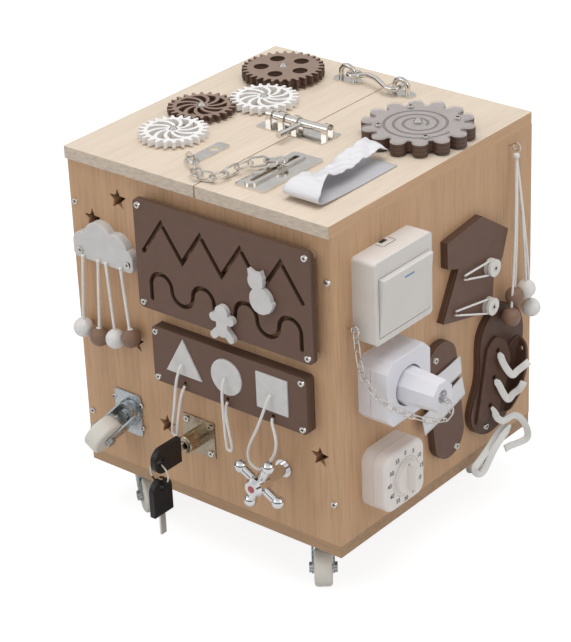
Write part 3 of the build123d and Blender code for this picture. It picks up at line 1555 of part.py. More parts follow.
# Straps across their board
straps = [top_strap]
strap_out = side_board_thickness + strap_thickness / 2 + soft_clearance
for strap_start, strap_end, band_width in velcro_strap_routes:
    start = right_face.from_local_coords(Vector(*strap_start, strap_out))
    end = right_face.from_local_coords(Vector(*strap_end, strap_out))
    along = (end - start).normalized()
    with BuildPart() as velcro_strap:
        with BuildSketch(Plane(origin=(start + end) / 2, x_dir=along, z_dir=along.cross(Vector(1, 0, 0)))):
            half = (end - start).length / 2
            with BuildLine():
                ThreePointArc((-half, 0), (0, velcro_strap_bow), (half, 0))
            trace(line_width=strap_thickness)
        extrude(amount=band_width / 2, both=True)
    straps.append(velcro_strap)
save_group(straps, "fabric_straps")

# Bead bunch: a knot under its eye, and four cords that each end in a bead
bunch_eye = right_at(bunch_eye_shares)
knot_drop = eye_ring_radius + eye_wire_radius + bunch_knot_radius + soft_clearance
knot = Vector(bunch_eye[0], bunch_eye[1] - knot_drop, eye_out)
with BuildPart() as bead_bunch:
    with Locations(right_face.from_local_coords(knot)):
        Sphere(bunch_knot_radius)
    for bead_place in bunch_bead_places:
        bead = Vector(*bead_place)
        upper = knot + (bead - knot) * bunch_bend_shares[0] + Vector(0, 0, bunch_cord_bow)
        lower = knot + (bead - knot) * bunch_bend_shares[1] + Vector(0, 0, bunch_cord_bow)
        bunch_route = [knot, upper, lower, bead]
        bunch_cord = cord_tube(right_points(bunch_route), bunch_cord_radius)
        add(bunch_cord.part)
        with Locations(right_face.from_local_coords(bead)):
            Sphere(bunch_bead_radius)
save(bead_bunch, "bead_bunch")

# Shoe: two flaps tilted away from the board, and the lace across them
flaps = []
for mirror, place, tilt in ((1, left_flap_place, left_flap_tilt), (-1, right_flap_place, right_flap_tilt)):
    rise = mirror * math.sin(math.radians(tilt))
    run = math.cos(math.radians(tilt))
    flap_plane = Plane(
        origin=right_face.from_local_coords(Vector(*place)), x_dir=(rise, run, 0), z_dir=(run, -rise, 0)
    )
    with BuildPart() as flap:
        with BuildSketch(flap_plane):
            with BuildLine():
                Polyline(*[(mirror * x, y) for x, y in flap_outline], close=True)
            make_face()
            fillet(vertices(), flap_corner)
            with Locations(*[(mirror * x, y) for x, y in flap_hole_places]):
                Circle(flap_hole_radius, mode=Mode.SUBTRACT)
        extrude(amount=flap_thickness)
    flaps.append(flap)
save_group(flaps, "shoe_upper")

shoe_lace = [cord_tube(right_points(route), lace_radius) for route in lace_routes]
save_group(shoe_lace, "shoe_lace")


def screws(plane, places):
    """Screw heads on a plane, with their edges sloped."""
    with BuildPart() as heads:
        with BuildSketch(plane):
            with Locations(*places):
                Circle(screw_head_radius)
        extrude(amount=screw_head_height, taper=screw_head_taper)
    return heads


def screw_eye(place):
    """A screw eye on the right side, its ring upright."""
    with BuildPart() as eye:
        with BuildSketch(right_face):
            with Locations(place):
                Circle(eye_wire_radius)
        extrude(amount=eye_shank)
        ring_middle = right_face.from_local_coords(Vector(*place, eye_out))
        with Locations(Plane(origin=ring_middle, z_dir=(0, 1, 0)).location):
            Torus(eye_ring_radius, eye_wire_radius)
    return eye


# Fasteners: screws of the panels and boards, spacers of the maze, posts of the coat loops and the two eyes
screw_x = box_width / 2 - screw_edge_inset
panel_screws = [(side * screw_x, share * box_height) for side in (-1, 1) for share in panel_screw_shares]
cloud_screws = [
    (cloud_place[0] + x * cloud_width, cloud_place[1] + z * cloud_height) for x, z in cloud_screw_shares
]
lock_corner = lock_plate_size / 2 - lock_screw_inset
lock_screws = [(lock_place[0] + x * lock_corner, lock_place[1] + z * lock_corner) for x, z in base_corners]
with BuildPart() as maze_spacers:
    with BuildSketch(front_face):
        with Locations(*maze_screws):
            Circle(spacer_radius)
    extrude(amount=maze_stand_off)
with BuildPart() as loop_posts:
    with BuildSketch(right_face.offset(side_board_thickness)):
        with Locations(*loop_hook_places):
            Circle(loop_radius / 2)
    extrude(amount=button_base + button_groove + button_rim)
save_group(
    [
        screws(front_face, panel_screws),
        screws(front_face.offset(cloud_thickness), cloud_screws),
        screws(front_face.offset(maze_front), maze_screws),
        screws(front_face.offset(sorter_thickness), sorter_screws),
        screws(front_face.offset(lock_plate_thickness), lock_screws),
        screws(right_face.offset(side_board_thickness), velcro_screws + shoe_screws),
        maze_spacers,
        loop_posts,
        screw_eye(plug_eye),
        screw_eye(bunch_eye),
    ],
    "fasteners",
)
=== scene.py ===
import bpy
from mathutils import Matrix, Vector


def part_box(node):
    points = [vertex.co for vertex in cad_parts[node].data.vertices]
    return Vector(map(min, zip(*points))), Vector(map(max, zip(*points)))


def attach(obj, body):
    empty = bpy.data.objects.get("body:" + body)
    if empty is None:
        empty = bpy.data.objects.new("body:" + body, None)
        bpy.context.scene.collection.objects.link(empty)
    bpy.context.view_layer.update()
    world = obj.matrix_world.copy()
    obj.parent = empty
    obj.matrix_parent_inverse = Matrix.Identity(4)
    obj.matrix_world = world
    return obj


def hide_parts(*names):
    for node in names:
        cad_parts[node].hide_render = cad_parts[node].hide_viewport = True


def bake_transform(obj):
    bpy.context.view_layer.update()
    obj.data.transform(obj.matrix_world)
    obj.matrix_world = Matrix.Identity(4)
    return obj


bl_info = {
    "name": "Wooden Activity Cube",
    "version": (1, 0, 0),
    "blender": (4, 5, 0),
    "location": "View3D > Sidebar > Activity Cube",
    "description": "Dresses the packed activity cube with its finishes, cords, straps and small trim",
    "category": "Object",
}

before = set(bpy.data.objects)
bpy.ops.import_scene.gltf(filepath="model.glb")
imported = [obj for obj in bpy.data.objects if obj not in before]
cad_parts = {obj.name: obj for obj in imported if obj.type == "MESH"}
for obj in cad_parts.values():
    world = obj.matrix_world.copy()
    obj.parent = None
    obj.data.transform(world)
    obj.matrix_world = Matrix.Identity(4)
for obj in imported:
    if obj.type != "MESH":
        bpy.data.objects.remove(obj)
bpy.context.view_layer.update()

import math

import bmesh
import bpy
from bpy.props import FloatProperty, FloatVectorProperty, PointerProperty
from mathutils import Matrix, Vector

FRONT_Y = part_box("front_panel")[0].y
RIGHT_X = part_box("wall_panels")[1].x
BASE_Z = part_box("base_board")[0].z
TOP_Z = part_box("top_boards")[1].z
MM = 0.001
X_AXIS = Vector((1, 0, 0))
Y_AXIS = Vector((0, 1, 0))
Z_AXIS = Vector((0, 0, 1))


def linear(code):
    """An sRGB hex colour as linear red, green and blue."""
    parts = [int(code[i : i + 2], 16) / 255 for i in (1, 3, 5)]
    return tuple(c / 12.92 if c <= 0.04045 else ((c + 0.055) / 1.055) ** 2.4 for c in parts)


def colour(words, code):
    """A colour property with an sRGB default."""
    return FloatVectorProperty(name=words, subtype="COLOR", min=0, max=1, default=linear(code))


def length(words, size):
    """A length property with its default in millimetres."""
    return FloatProperty(name=words, default=size * MM, unit="LENGTH")


class CubeColours(bpy.types.PropertyGroup):
    """Colours of the finishes."""

    beech_pale: colour("Planed beech of the two top boards", "#E0D0BD")
    beech_tan: colour("Lacquered beech of the panels and base", "#D0A882")
    taupe: colour("Matte brown paint of the gears", "#937D70")
    wheel_taupe: colour("Paler brown paint of the spiral wheel", "#B4ABA6")
    umber: colour("Darker brown paint of the boards", "#6C5042")
    char: colour("Edges browned by the cutting beam, and painted shade in the wheel's spiral", "#5C463A")
    white_paint: colour("Matte white paint of gears and figures", "#EEECEA")
    bead_brown: colour("Satin brown paint of the beads", "#8C6E5B")
    nickel: colour("Plated latches, chains and eyes", "#E4E0DA")
    lock_nickel: colour("Warmer satin plate of the lock", "#B4A692")
    recess: colour("Shaded cross recesses of the screws", "#2A2724")
    chrome: colour("Polished tap", "#EDEDEE")
    zinc: colour("Bluish zinc plate of the casters", "#C3C9CD")
    wheel: colour("Ivory nylon of the caster wheels", "#E8E4DA")
    key_black: colour("Black moulded key heads", "#0C0B0D")
    switch_white: colour("Warm pale grey of the switch", "#EBE6E1")
    socket_white: colour("Cool white of the socket and plug", "#EDECF2")
    timer_white: colour("Warm white of the timer", "#F2EBE6")
    clear: colour("Faint grey of the clear wheel cover", "#CFC9C8")
    cord_white: colour("White braided cord", "#F2F0EC")
    strap_white: colour("White satin of the straps", "#E2E1E4")
    # The strap's back is its white satin greyed as painted shade, for the run that lies under the fold
    strap_shaded_back: colour("White satin back, greyed as painted shade under the fold", "#BDBCC0")
    leather: colour("Brown leather of the shoe", "#5B3F31")
    print_grey: colour("Dark grey print of the timer and switch", "#2E2A2A")
    switch_mark: colour("Blue glow bar of the switch", "#4C93B8")
    dial_mark: colour("Red pointer of the timer", "#C2353A")
    tap_mark: colour("Red dot of the tap", "#B9585A")


class CubeSizes(bpy.types.PropertyGroup):
    """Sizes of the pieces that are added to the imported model."""

    pull_cord: length("Diameter of the shape cords", 2.8)
    loop_cord: length("Diameter of the coat loops", 2.0)
    lace: length("Width of the lace", 6.8)
    lace_thick: length("Thickness of the lace", 1.2)
    strap: length("Thickness of the straps", 0.9)
    door_wire: length("Wire of the door chain", 2.0)
    plug_wire: length("Wire of the plug's chain", 1.3)
    flap: length("Thickness of the shoe's flaps", 2.6)


def connect(tree, node, links):
    """Links sockets, or the first outputs of nodes, to the inputs of a node."""
    for key, source in dict(links).items():
        socket = source.outputs[0] if isinstance(source, bpy.types.Node) else source
        tree.links.new(socket, node.inputs[key])


def add_node(tree, kind, settings=(), inputs=(), links=(), stops=()):
    """One shader node with its settings, input values, links and colour stops."""
    node = tree.nodes.new("ShaderNode" + kind)
    for key, value in dict(settings).items():
        setattr(node, key, value)
    for key, value in dict(inputs).items():
        node.inputs[key].default_value = value
    connect(tree, node, links)
    for number, (place, tint) in enumerate(stops):
        elements = node.color_ramp.elements
        element = elements[number] if number < len(elements) else elements.new(place)
        element.position = place
        element.color = (*tint, 1)
    return node


def empty_tree(holder):
    """The node tree of a material or a world, with nothing in it."""
    holder.use_nodes = True
    holder.node_tree.nodes.clear()
    return holder.node_tree


def shade(tint, share):
    """A colour made darker or lighter by a share."""
    return tuple(min(1.0, c * share) for c in tint)


def grain(tree, place, size, detail=3.0):
    """A pattern of flecks with their size in millimetres, or one size along each axis."""
    sizes = (size,) * 3 if isinstance(size, float) else size
    values = {"Scale": [1 / (part * MM) for part in sizes]}
    spread = add_node(tree, "Mapping", (), values, {"Vector": place})
    return add_node(tree, "TexNoise", (), {"Scale": 1.0, "Detail": detail}, {"Vector": spread})


def mottled(tree, place, size, stops, detail=3.0):
    """Colours spread over a surface by a pattern of flecks."""
    flecks = grain(tree, place, size, detail)
    return add_node(tree, "ValToRGB", (), (), {"Fac": flecks}, stops)


def clouded(tree, place, tint, size, dark, pale=1.0, detail=3.0):
    """A colour that drifts between two shares of itself from patch to patch."""
    return mottled(tree, place, size, [(0.3, shade(tint, dark)), (0.7, shade(tint, pale))], detail)


def past(tree, value, test, level, under, top):
    """One colour over another where a value passes a test against a level, and the mask of that."""
    mask = add_node(tree, "Math", {"operation": test}, {1: level}, {0: value})
    mixed = add_node(tree, "Mix", {"data_type": "RGBA"}, links={0: mask, 6: under, 7: top})
    return mixed.outputs[2], mask


# A face looks along an axis where its normal has more than this share of it
SQUARE_ON = 0.6


def on_faces(tree, axis, under, top):
    """One colour over another on the faces that look along an axis."""
    normal = add_node(tree, "NewGeometry").outputs["Normal"]
    share = add_node(tree, "SeparateXYZ", links={"Vector": normal}).outputs[axis]
    square = add_node(tree, "Math", {"operation": "ABSOLUTE"}, links={0: share})
    return past(tree, square, "GREATER_THAN", SQUARE_ON, under, top)[0]


def start_material(name, tint, roughness, grit=None, metallic=0.0, ior=1.5):
    """A material with its surface shader, Object coordinates and the bumps of its grit."""
    material = bpy.data.materials.new(name)
    tree = empty_tree(material)
    values = {"Base Color": (*tint, 1), "Roughness": roughness, "Metallic": metallic, "IOR": ior}
    surface = add_node(tree, "BsdfPrincipled", (), values)
    add_node(tree, "OutputMaterial", links={"Surface": surface})
    place = add_node(tree, "TexCoord").outputs["Object"]
    if grit:
        size, depth, strength = grit
        values = {"Strength": strength, "Distance": depth * MM}
        uneven = add_node(tree, "Bump", (), values, {"Height": grain(tree, place, size, 2.0)})
        connect(tree, surface, {"Normal": uneven})
    return material, tree, surface, place


# Beech: width and length of a fleck and of a band, and the sizes of the end grain, in millimetres
BEECH_FLECK = (1.786, 41.67)
BEECH_BAND = (16.67, 500.0)
BEECH_END = (6.667, 6.667, 1.4286)
# Depth of its pores in millimetres, and their strength
BEECH_PORES = (0.06, 0.4)
# Patches of the other finishes: size in millimetres, darker and paler share, detail
PAINT_PATCH = (11.11, 0.94, 1.04)
STAIN_PATCH = ((11.11, 11.11, 25.0), 0.86, 1.08)
# Painted shade on the floor of a sunk groove: size in millimetres and darker share of the edge colour
GROOVE_SHADE_PATCH = (3.333, 0.8)
PLATE_PATCH = (16.67, 0.86)
MOULD_PATCH = (41.67, 0.965, 1.0, 2.0)
HIDE_PATCH = (8.333, 0.8, 1.12, 4.0)
CLEAR_PATCH = (25.0, 0.94, 1.0, 2.0)
HEAD_PATCH = (3.846, 0.92)
BLADE_PATCH = (3.846, 0.9)
CORD_PATCH = (3.846, 0.93)
# Grit of the other finishes: size and depth in millimetres, strength
PAINT_GRIT = (0.7143, 0.04, 0.6)
PLATE_GRIT = (6.25, 0.1, 0.35)
MOULD_GRIT = (0.6, 0.03, 0.5)
SPLIT_GRIT = (0.6667, 0.03, 0.4)
BEAD_GRIT = (1.111, 0.04, 0.4)
# Handling marks of the plate along each axis, and pebbles of the leather, in millimetres
PLATE_MARKS = (2.0, 7.143, 2.0)
HIDE_PEBBLE = 1.111
# The shoe's upper covers the side boards past this Y and below this Z
SHOE_START = 0.046
SHOE_TOP = 0.212


def beech(name, tint, along, depth, sides=None):
    """Planed beech: flecks 2 mm wide and 40 mm long along the grain, softer bands, and finer end grain."""
    sizes = (BEECH_FLECK, BEECH_BAND)
    fleck, band = ([long if axis == along else wide for axis in range(3)] for wide, long in sizes)
    material, tree, surface, place = start_material(name, tint, 0.5, (fleck, *BEECH_PORES))
    dark, pale = shade(tint, 1 - depth), shade(tint, 1 + depth / 4)
    wood = mottled(tree, place, fleck, [(0.32, dark), (0.5, tint), (0.72, pale)])
    soft = (1 - depth * 0.7, 1 - depth * 0.8, 1 - depth * 0.9)
    bands = mottled(tree, place, band, [(0.3, soft), (0.6, (1, 1, 1))], 2.0)
    darker = {"data_type": "RGBA", "blend_type": "MULTIPLY"}
    wood = add_node(tree, "Mix", darker, {0: 1.0}, {6: wood, 7: bands}).outputs[2]
    if sides:
        edge = mottled(tree, place, fleck, [(0.35, shade(sides, 0.9)), (0.65, sides)])
        wood = on_faces(tree, 0, wood, edge)
    ends = [(0.35, shade(tint, 0.74)), (0.5, shade(tint, 0.9)), (0.7, shade(tint, 0.96))]
    wood = on_faces(tree, along, wood, mottled(tree, place, BEECH_END, ends))
    connect(tree, surface, {"Base Color": wood})
    return material


def painted_wood(name, tint, edge=None, axis=1, ply=0.0, groove=None, shoe=None):
    """Matte paint on plywood: a faint roller texture, with beam-browned plies on the cut sides, and the
    edge colour as painted shade on the floor of a sunk groove.
    """
    material, tree, surface, place = start_material(name, tint, 0.55, PAINT_GRIT)
    paint = clouded(tree, place, tint, *PAINT_PATCH)
    if edge:
        spot = add_node(tree, "SeparateXYZ", links={"Vector": place}).outputs
        if shoe:
            stain = clouded(tree, place, shoe, *STAIN_PATCH)
            stain = past(tree, spot[2], "LESS_THAN", SHOE_TOP, paint, stain)[0]
            paint = past(tree, spot[1], "GREATER_THAN", SHOE_START, paint, stain)[0]
        # The floor of a sunk groove takes the edge colour as painted shade
        if groove:
            sunk = clouded(tree, place, edge, *GROOVE_SHADE_PATCH)
            paint = past(tree, spot[axis], "LESS_THAN", groove, paint, sunk)[0]
        turns = add_node(tree, "Math", {"operation": "MULTIPLY"}, {1: 1 / (ply * MM)}, {0: spot[axis]})
        layer = add_node(tree, "Math", {"operation": "FRACT"}, links={0: turns})
        stops = [(0.0, shade(edge, 0.5)), (0.16, shade(edge, 0.6)), (0.26, edge), (0.9, shade(edge, 1.25))]
        plies = add_node(tree, "ValToRGB", (), (), {"Fac": layer}, stops)
        paint = on_faces(tree, axis, plies, paint)
    connect(tree, surface, {"Base Color": paint})
    return material


def plated(name, tint, roughness):
    """Plated steel: bright reflections with fine handling marks and slight clouding."""
    material, tree, surface, place = start_material(name, tint, roughness, PLATE_GRIT, 1.0)
    stops = [(0.35, (roughness * 0.7,) * 3), (0.7, (roughness * 1.35,) * 3)]
    marks = mottled(tree, place, PLATE_MARKS, stops)
    connect(tree, surface, {"Roughness": marks, "Base Color": clouded(tree, place, tint, *PLATE_PATCH)})
    return material


def moulded(name, tint, roughness):
    """Moulded plastic: a satin skin with a fine spark-eroded grain."""
    material, tree, surface, place = start_material(name, tint, roughness, MOULD_GRIT, 0.0, 1.46)
    connect(tree, surface, {"Base Color": clouded(tree, place, tint, *MOULD_PATCH)})
    return material


def woven(name, tint, thread, sheen=0.3, roughness=0.75, depth=0.2):
    """Woven cloth: crossing threads at a spacing in millimetres, with a soft sheen, and painted shade in
    the low parts between the threads.
    """
    material, tree, surface, place = start_material(name, tint, roughness)
    surface.inputs["Sheen Weight"].default_value = sheen
    # At a scale of one, the pattern repeats after a twentieth of a full turn
    values = {"Scale": math.tau / (thread * MM) / 20, "Distortion": 0.6, "Detail": 1.0}
    threads = []
    for axis in "XYZ":
        wave = add_node(tree, "TexWave", {"bands_direction": axis}, values, {"Vector": place})
        threads.append(wave.outputs["Fac"])
    pair = add_node(tree, "Math", {"operation": "MAXIMUM"}, links={0: threads[0], 1: threads[1]})
    cloth = add_node(tree, "Math", {"operation": "ADD"}, links={0: pair, 1: threads[2]})
    half = add_node(tree, "Math", {"operation": "MULTIPLY"}, {1: 0.5}, {0: cloth})
    # The low parts between the threads are darkened by a share of the depth as painted shade
    stops = [(0.1, shade(tint, 1 - depth)), (0.7, tint)]
    shades = add_node(tree, "ValToRGB", (), (), {"Fac": half}, stops)
    weave = add_node(tree, "Bump", (), {"Strength": depth * 2, "Distance": 0.1 * MM}, {"Height": half})
    connect(tree, surface, {"Base Color": shades, "Normal": weave})
    return material


def tanned(name, tint):
    """Tanned leather: pebbled grain 1 mm across and a tone that drifts slightly darker and paler from patch
    to patch.
    """
    material, tree, surface, place = start_material(name, tint, 0.6)
    pebbles = add_node(tree, "TexVoronoi", (), {"Scale": 1 / (HIDE_PEBBLE * MM)}, {"Vector": place})
    bumps = add_node(tree, "Bump", (), {"Strength": 0.5, "Distance": 0.1 * MM}, {"Height": pebbles})
    connect(tree, surface, {"Base Color": clouded(tree, place, tint, *HIDE_PATCH), "Normal": bumps})
    return material


def clear_sheet(name, tint):
    """Clear acrylic disc with a glossy face and a faint haze."""
    material, tree, surface, place = start_material(name, tint, 0.12, None, 0.0, 1.49)
    surface.inputs["Alpha"].default_value = 0.22
    connect(tree, surface, {"Base Color": clouded(tree, place, tint, *CLEAR_PATCH)})
    return material


def split_finish(name, near, far, axis, level, rough, metal=(0.0, 0.0), width=None):
    """Two finishes on one piece: the far one takes over where a coordinate passes a level."""
    material, tree, surface, place = start_material(name, near, rough[0], SPLIT_GRIT)
    height = add_node(tree, "SeparateXYZ", links={"Vector": place}).outputs[axis]
    if width:
        offset = add_node(tree, "Math", {"operation": "SUBTRACT"}, {1: level}, {0: height})
        height, level = add_node(tree, "Math", {"operation": "ABSOLUTE"}, links={0: offset}), width
    finishes = (clouded(tree, place, near, *HEAD_PATCH), clouded(tree, place, far, *BLADE_PATCH))
    tint, side = past(tree, height, "GREATER_THAN", level, *finishes)
    connect(tree, surface, {"Base Color": tint})
    for socket, (low, high) in (("Roughness", rough), ("Metallic", metal)):
        if low != high:
            step = add_node(tree, "MapRange", (), {"To Min": low, "To Max": high}, {"Value": side})
            connect(tree, surface, {socket: step})
    return material


def bead_finish(name, cord, bead, centres, radius):
    """Satin paint on the beads at the given centres, and plain white on the rest."""
    material, tree, surface, place = start_material(name, cord, 0.45, BEAD_GRIT)
    tint = clouded(tree, place, cord, *CORD_PATCH)
    paint = clouded(tree, place, bead, *HEAD_PATCH)
    for centre in centres:
        reach = add_node(tree, "VectorMath", {"operation": "DISTANCE"}, {1: centre}, {0: place})
        tint = past(tree, reach.outputs["Value"], "LESS_THAN", radius, tint, paint)[0]
    connect(tree, surface, {"Base Color": tint})
    return material


def chosen():
    """The scene's colours and sizes."""
    return bpy.context.scene.cube_colours, bpy.context.scene.cube_sizes


def dress(material, *names):
    """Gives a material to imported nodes."""
    for name in names:
        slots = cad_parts[name].data.materials
        slots.clear()
        slots.append(material)


def mesh_from(work, name, smooth=True):
    """A mesh from a bmesh, with its normals turned outwards."""
    bmesh.ops.recalc_face_normals(work, faces=work.faces)
    data = bpy.data.meshes.new(name)
    work.to_mesh(data)
    work.free()
    for face in data.polygons:
        face.use_smooth = smooth
    return data


def placed(name, data):
    """A new object in the scene."""
    piece = bpy.data.objects.new(name, data)
    bpy.context.scene.collection.objects.link(piece)
    return piece


def new_piece(name, data, materials, body, slot, *nodes):
    """A piece from a mesh or a flat-sided bmesh, on a body if named, with its replaced nodes; the slot is
    not used.
    """
    if isinstance(data, bmesh.types.BMesh):
        data = mesh_from(data, name, False)
    piece = placed(name, data)
    for material in materials:
        data.materials.append(material)
    if body:
        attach(piece, body)
    if nodes:
        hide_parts(*nodes)
    return piece


def add_disc(work, matrix, radius, height, sides=28):
    """A low round or cornered disc at a placed and turned frame."""
    sizes = {"radius1": radius, "radius2": radius, "depth": height}
    bmesh.ops.create_cone(work, cap_ends=True, segments=sides, matrix=matrix, **sizes)


def front_point(point):
    """A point across, up and out on the front, in millimetres, as a place in the frame."""
    across, up, out = point
    return Vector((across * MM, FRONT_Y - out * MM, BASE_Z + up * MM))


def right_point(point):
    """A point across, up and out on the right side, in millimetres, as a place in the frame."""
    across, up, out = point
    return Vector((RIGHT_X + out * MM, across * MM, BASE_Z + up * MM))


def smooth_line(name, points, radius=0.0):
    """A curve of one NURBS spline with the points as its control points."""
    line = bpy.data.curves.new(name, "CURVE")
    line.dimensions = "3D"
    spline = line.splines.new("NURBS")
    spline.points.add(len(points) - 1)
    for target, point in zip(spline.points, points):
        target.co = (*point, 1)
    spline.use_endpoint_u = True
    spline.order_u = 3
    spline.resolution_u = 10
    line.bevel_depth = radius
    line.bevel_resolution = 4
    line.use_fill_caps = True
    return line


def curve_mesh(name, line):
    """A curve made into a mesh."""
    holder = bpy.data.objects.new(name, line)
    data = bpy.data.meshes.new_from_object(holder)
    bpy.data.objects.remove(holder)
    bpy.data.curves.remove(line)
    data.name = name
    for face in data.polygons:
        face.use_smooth = True
    return data


def line_path(points):
    """Points along the smooth line of a route, and its length."""
    data = curve_mesh("route", smooth_line("route", points))
    path = [vertex.co.copy() for vertex in data.vertices]
    bpy.data.meshes.remove(data)
    return path, sum((b - a).length for a, b in zip(path[:-1], path[1:]))


# Routes on the front and the right side: across, up and out in millimetres
SHAPE_CORDS = {
    "triangle": [
        (-14, 157, 14.8), (-14.5, 155, 18), (-18, 140, 20.5), (-22.5, 116, 19.5),
        (-26.5, 97, 18.5), (-28.8, 88, 18.2), (-28.9, 80.1, 18), (-27, 78.2, 18),
        (-24.4, 78.2, 18), (-22.5, 80.1, 18), (-22.2, 88, 18.2), (-20, 100, 18.5),
        (-16, 120, 18.5), (-13.6, 131, 16.5), (-13.4, 133.6, 13.6),
    ],
    "disc": [
        (38.4, 159, 14.8), (38.6, 157, 18), (38.4, 142, 20.5), (38.6, 118, 19.5),
        (38.2, 101, 18.5), (38.9, 94, 18.2), (39, 86.7, 18), (40.9, 84.8, 18),
        (43.5, 84.8, 18), (45.4, 86.7, 18), (45.3, 94, 18.2), (43.2, 106, 18.5),
        (40.5, 122, 18.5), (39.2, 131, 16.5), (38.9, 133.6, 13.6),
    ],
    "square": [
        (92.9, 159, 14.8), (92.4, 157, 18), (88, 142, 20.5), (78, 119, 20),
        (68, 101, 19), (64.5, 88, 18.5), (68, 78.5, 18.2), (77, 75.5, 18),
        (85.5, 82, 18), (93, 92, 18.5), (99, 103, 19), (101, 115, 19),
        (97.5, 126, 18), (93.6, 132, 16), (92.8, 134, 13.6),
    ],
}
# Spacing of the threads of the braided cord and the lace, in millimetres
CORD_THREAD = 1.1
BUTTONS = [(72.3, 212.0), (69.6, 172.0)]
LOOP_HOOKS = [(27.6, 218.8), (13.3, 187.5)]
LOOP_REACH = 8.2
LOOP_OUT = 11.3
LOOP_SPREAD = 2.0


def free_cord(name, points, diameter, material, node, shape=None):
    """A round cord along a route; a shape's cord stays on no body, with its place baked into its mesh."""
    tube = curve_mesh(name, smooth_line(name, points, diameter / 2))
    piece = new_piece(name, tube, [material], None if shape else "cube", "white_cord", node)
    if shape:
        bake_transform(piece)
    path, reach = line_path(points)


class CUBE_OT_cords(bpy.types.Operator):
    """Cords of the three shapes and the elastic loops of the coat"""

    bl_idname = "cube.cords"
    bl_label = "Cords"

    def execute(self, context):
        colours, sizes = chosen()
        braid = woven("Braided polyester cord", colours.cord_white, CORD_THREAD, 0.4)
        for shape, route in SHAPE_CORDS.items():
            points = [front_point(p) for p in route]
            free_cord(f"{shape}_cord", points, sizes.pull_cord, braid, "shape_cords", f"shape_{shape}")
        for number, (hook, button) in enumerate(zip(LOOP_HOOKS, BUTTONS), 1):
            angle = math.atan2(hook[1] - button[1], hook[0] - button[0])
            side = (LOOP_SPREAD * math.sin(angle), -LOOP_SPREAD * math.cos(angle))
            route = [(hook[0] + side[0], hook[1] + side[1])]
            for bend in range(6):
                turn = angle - math.radians(67.5 + 45 * bend)
                x, y = LOOP_REACH * math.cos(turn), LOOP_REACH * math.sin(turn)
                route.append((button[0] + x, button[1] + y))
            route.append((hook[0] - side[0], hook[1] - side[1]))
            points = [right_point((*p, LOOP_OUT)) for p in route]
            free_cord(f"coat_loop_{number}", points, sizes.loop_cord, braid, "coat_loops")
        return {"FINISHED"}


# Plies of the gears, the wheel and the boards, in millimetres
GEAR_PLY = 5.4
WHEEL_PLY = 3.6
BOARD_PLY = 4.0
SPIRAL_SUNK = 0.6 * MM
DROP_BEAD = 19.2 * MM


class CUBE_OT_boards(bpy.types.Operator):
    """Finishes of the carcass, the gears and the painted boards"""

    bl_idname = "cube.boards"
    bl_label = "Boards and gears"

    def execute(self, context):
        colours = context.scene.cube_colours
        pale, tan, umber, char = colours.beech_pale, colours.beech_tan, colours.umber, colours.char
        dress(beech("Planed beech, grain front to back", pale, 1, 0.07, shade(tan, 1.05)), "top_boards")
        dress(beech("Lacquered beech, upright grain", tan, 2, 0.14), "front_panel", "wall_panels")
        dress(beech("Lacquered beech, grain across", shade(tan, 0.76), 0, 0.14), "base_board")
        gears = painted_wood("Taupe paint, cut across Z", colours.taupe, char, 2, GEAR_PLY)
        dress(gears, "gear_large", "gear_brown")
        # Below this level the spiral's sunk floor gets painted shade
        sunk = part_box("spiral_cover")[0].z - SPIRAL_SUNK
        name = "Taupe wheel with painted shade in its sunk spiral"
        dress(painted_wood(name, colours.wheel_taupe, char, 2, WHEEL_PLY, sunk), "spiral_wheel")
        gears = painted_wood("White paint on gears", colours.white_paint)
        dress(gears, "gear_white_rear", "gear_white_front")
        boards = painted_wood("Umber paint, cut across Y", umber, char, 1, BOARD_PLY)
        dress(boards, "maze_board", "sorter_board")
        name, shoe = "Umber paint, cut across X", shade(colours.leather, 0.9)
        dress(painted_wood(name, umber, shade(umber, 0.7), 0, BOARD_PLY, None, shoe), "side_boards")
        # The figures on the front take the white paint at 0.82 of its brightness as painted shade, while
        # the gears on the top keep it plain
        white = painted_wood("White paint on figures, darkened as painted shade", shade(colours.white_paint, 0.82))
        dress(white, "cloud", "cat_slider", "man_slider", "shape_triangle", "shape_disc", "shape_square")
        for number in (1, 2, 3, 4):
            drop = f"cloud_drop_{number}"
            bead = colours.bead_brown if number % 2 == 0 else colours.white_paint
            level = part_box(drop)[0].z + DROP_BEAD
            name = f"Bead and cord {number}"
            dress(split_finish(name, bead, colours.cord_white, 2, level, (0.38, 0.8)), drop)
        return {"FINISHED"}


COVER_TEETH = 14
COVER_STEPS = 24
COVER_ROOT = 43.0 * MM
COVER_TOOTH_MIDDLE = 46.5 * MM
COVER_TOOTH_ROUND = 7.5 * MM
# The cover is lifted off the wheel's face by a hair, so that the painted face under it stays in view
COVER_LIFT = 0.1 * MM


def cover_reach(angle):
    """How far the toothed cover reaches from its middle at an angle."""
    step = math.tau / COVER_TEETH
    offset = abs((angle + step / 2) % step - step / 2)
    beside = COVER_TOOTH_MIDDLE * math.sin(offset)
    if beside < COVER_TOOTH_ROUND:
        return COVER_TOOTH_MIDDLE * math.cos(offset) + math.sqrt(COVER_TOOTH_ROUND**2 - beside**2)
    return max(COVER_ROOT, COVER_TOOTH_ROUND / math.sin(offset))


class CUBE_OT_cover(bpy.types.Operator):
    """Clear toothed cover over the spiral of the wheel"""

    bl_idname = "cube.cover"
    bl_label = "Wheel cover"

    def execute(self, context):
        low, high = (Vector(corner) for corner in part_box("spiral_cover"))
        middle = (low + high) / 2
        work = bmesh.new()
        add_disc(work, Matrix(), 1, 1, COVER_STEPS * COVER_TEETH)
        for vertex in work.verts:
            angle = math.atan2(vertex.co.y, vertex.co.x)
            x, y = (cover_reach(angle) * part for part in (math.cos(angle), math.sin(angle)))
            vertex.co = (middle.x + x, middle.y + y, high.z if vertex.co.z > 0 else low.z + COVER_LIFT)
        clear = clear_sheet("Clear acrylic", context.scene.cube_colours.clear)
        new_piece("wheel_cover", work, [clear], "spiral", "clear_plastic", "spiral_cover")
        return {"FINISHED"}


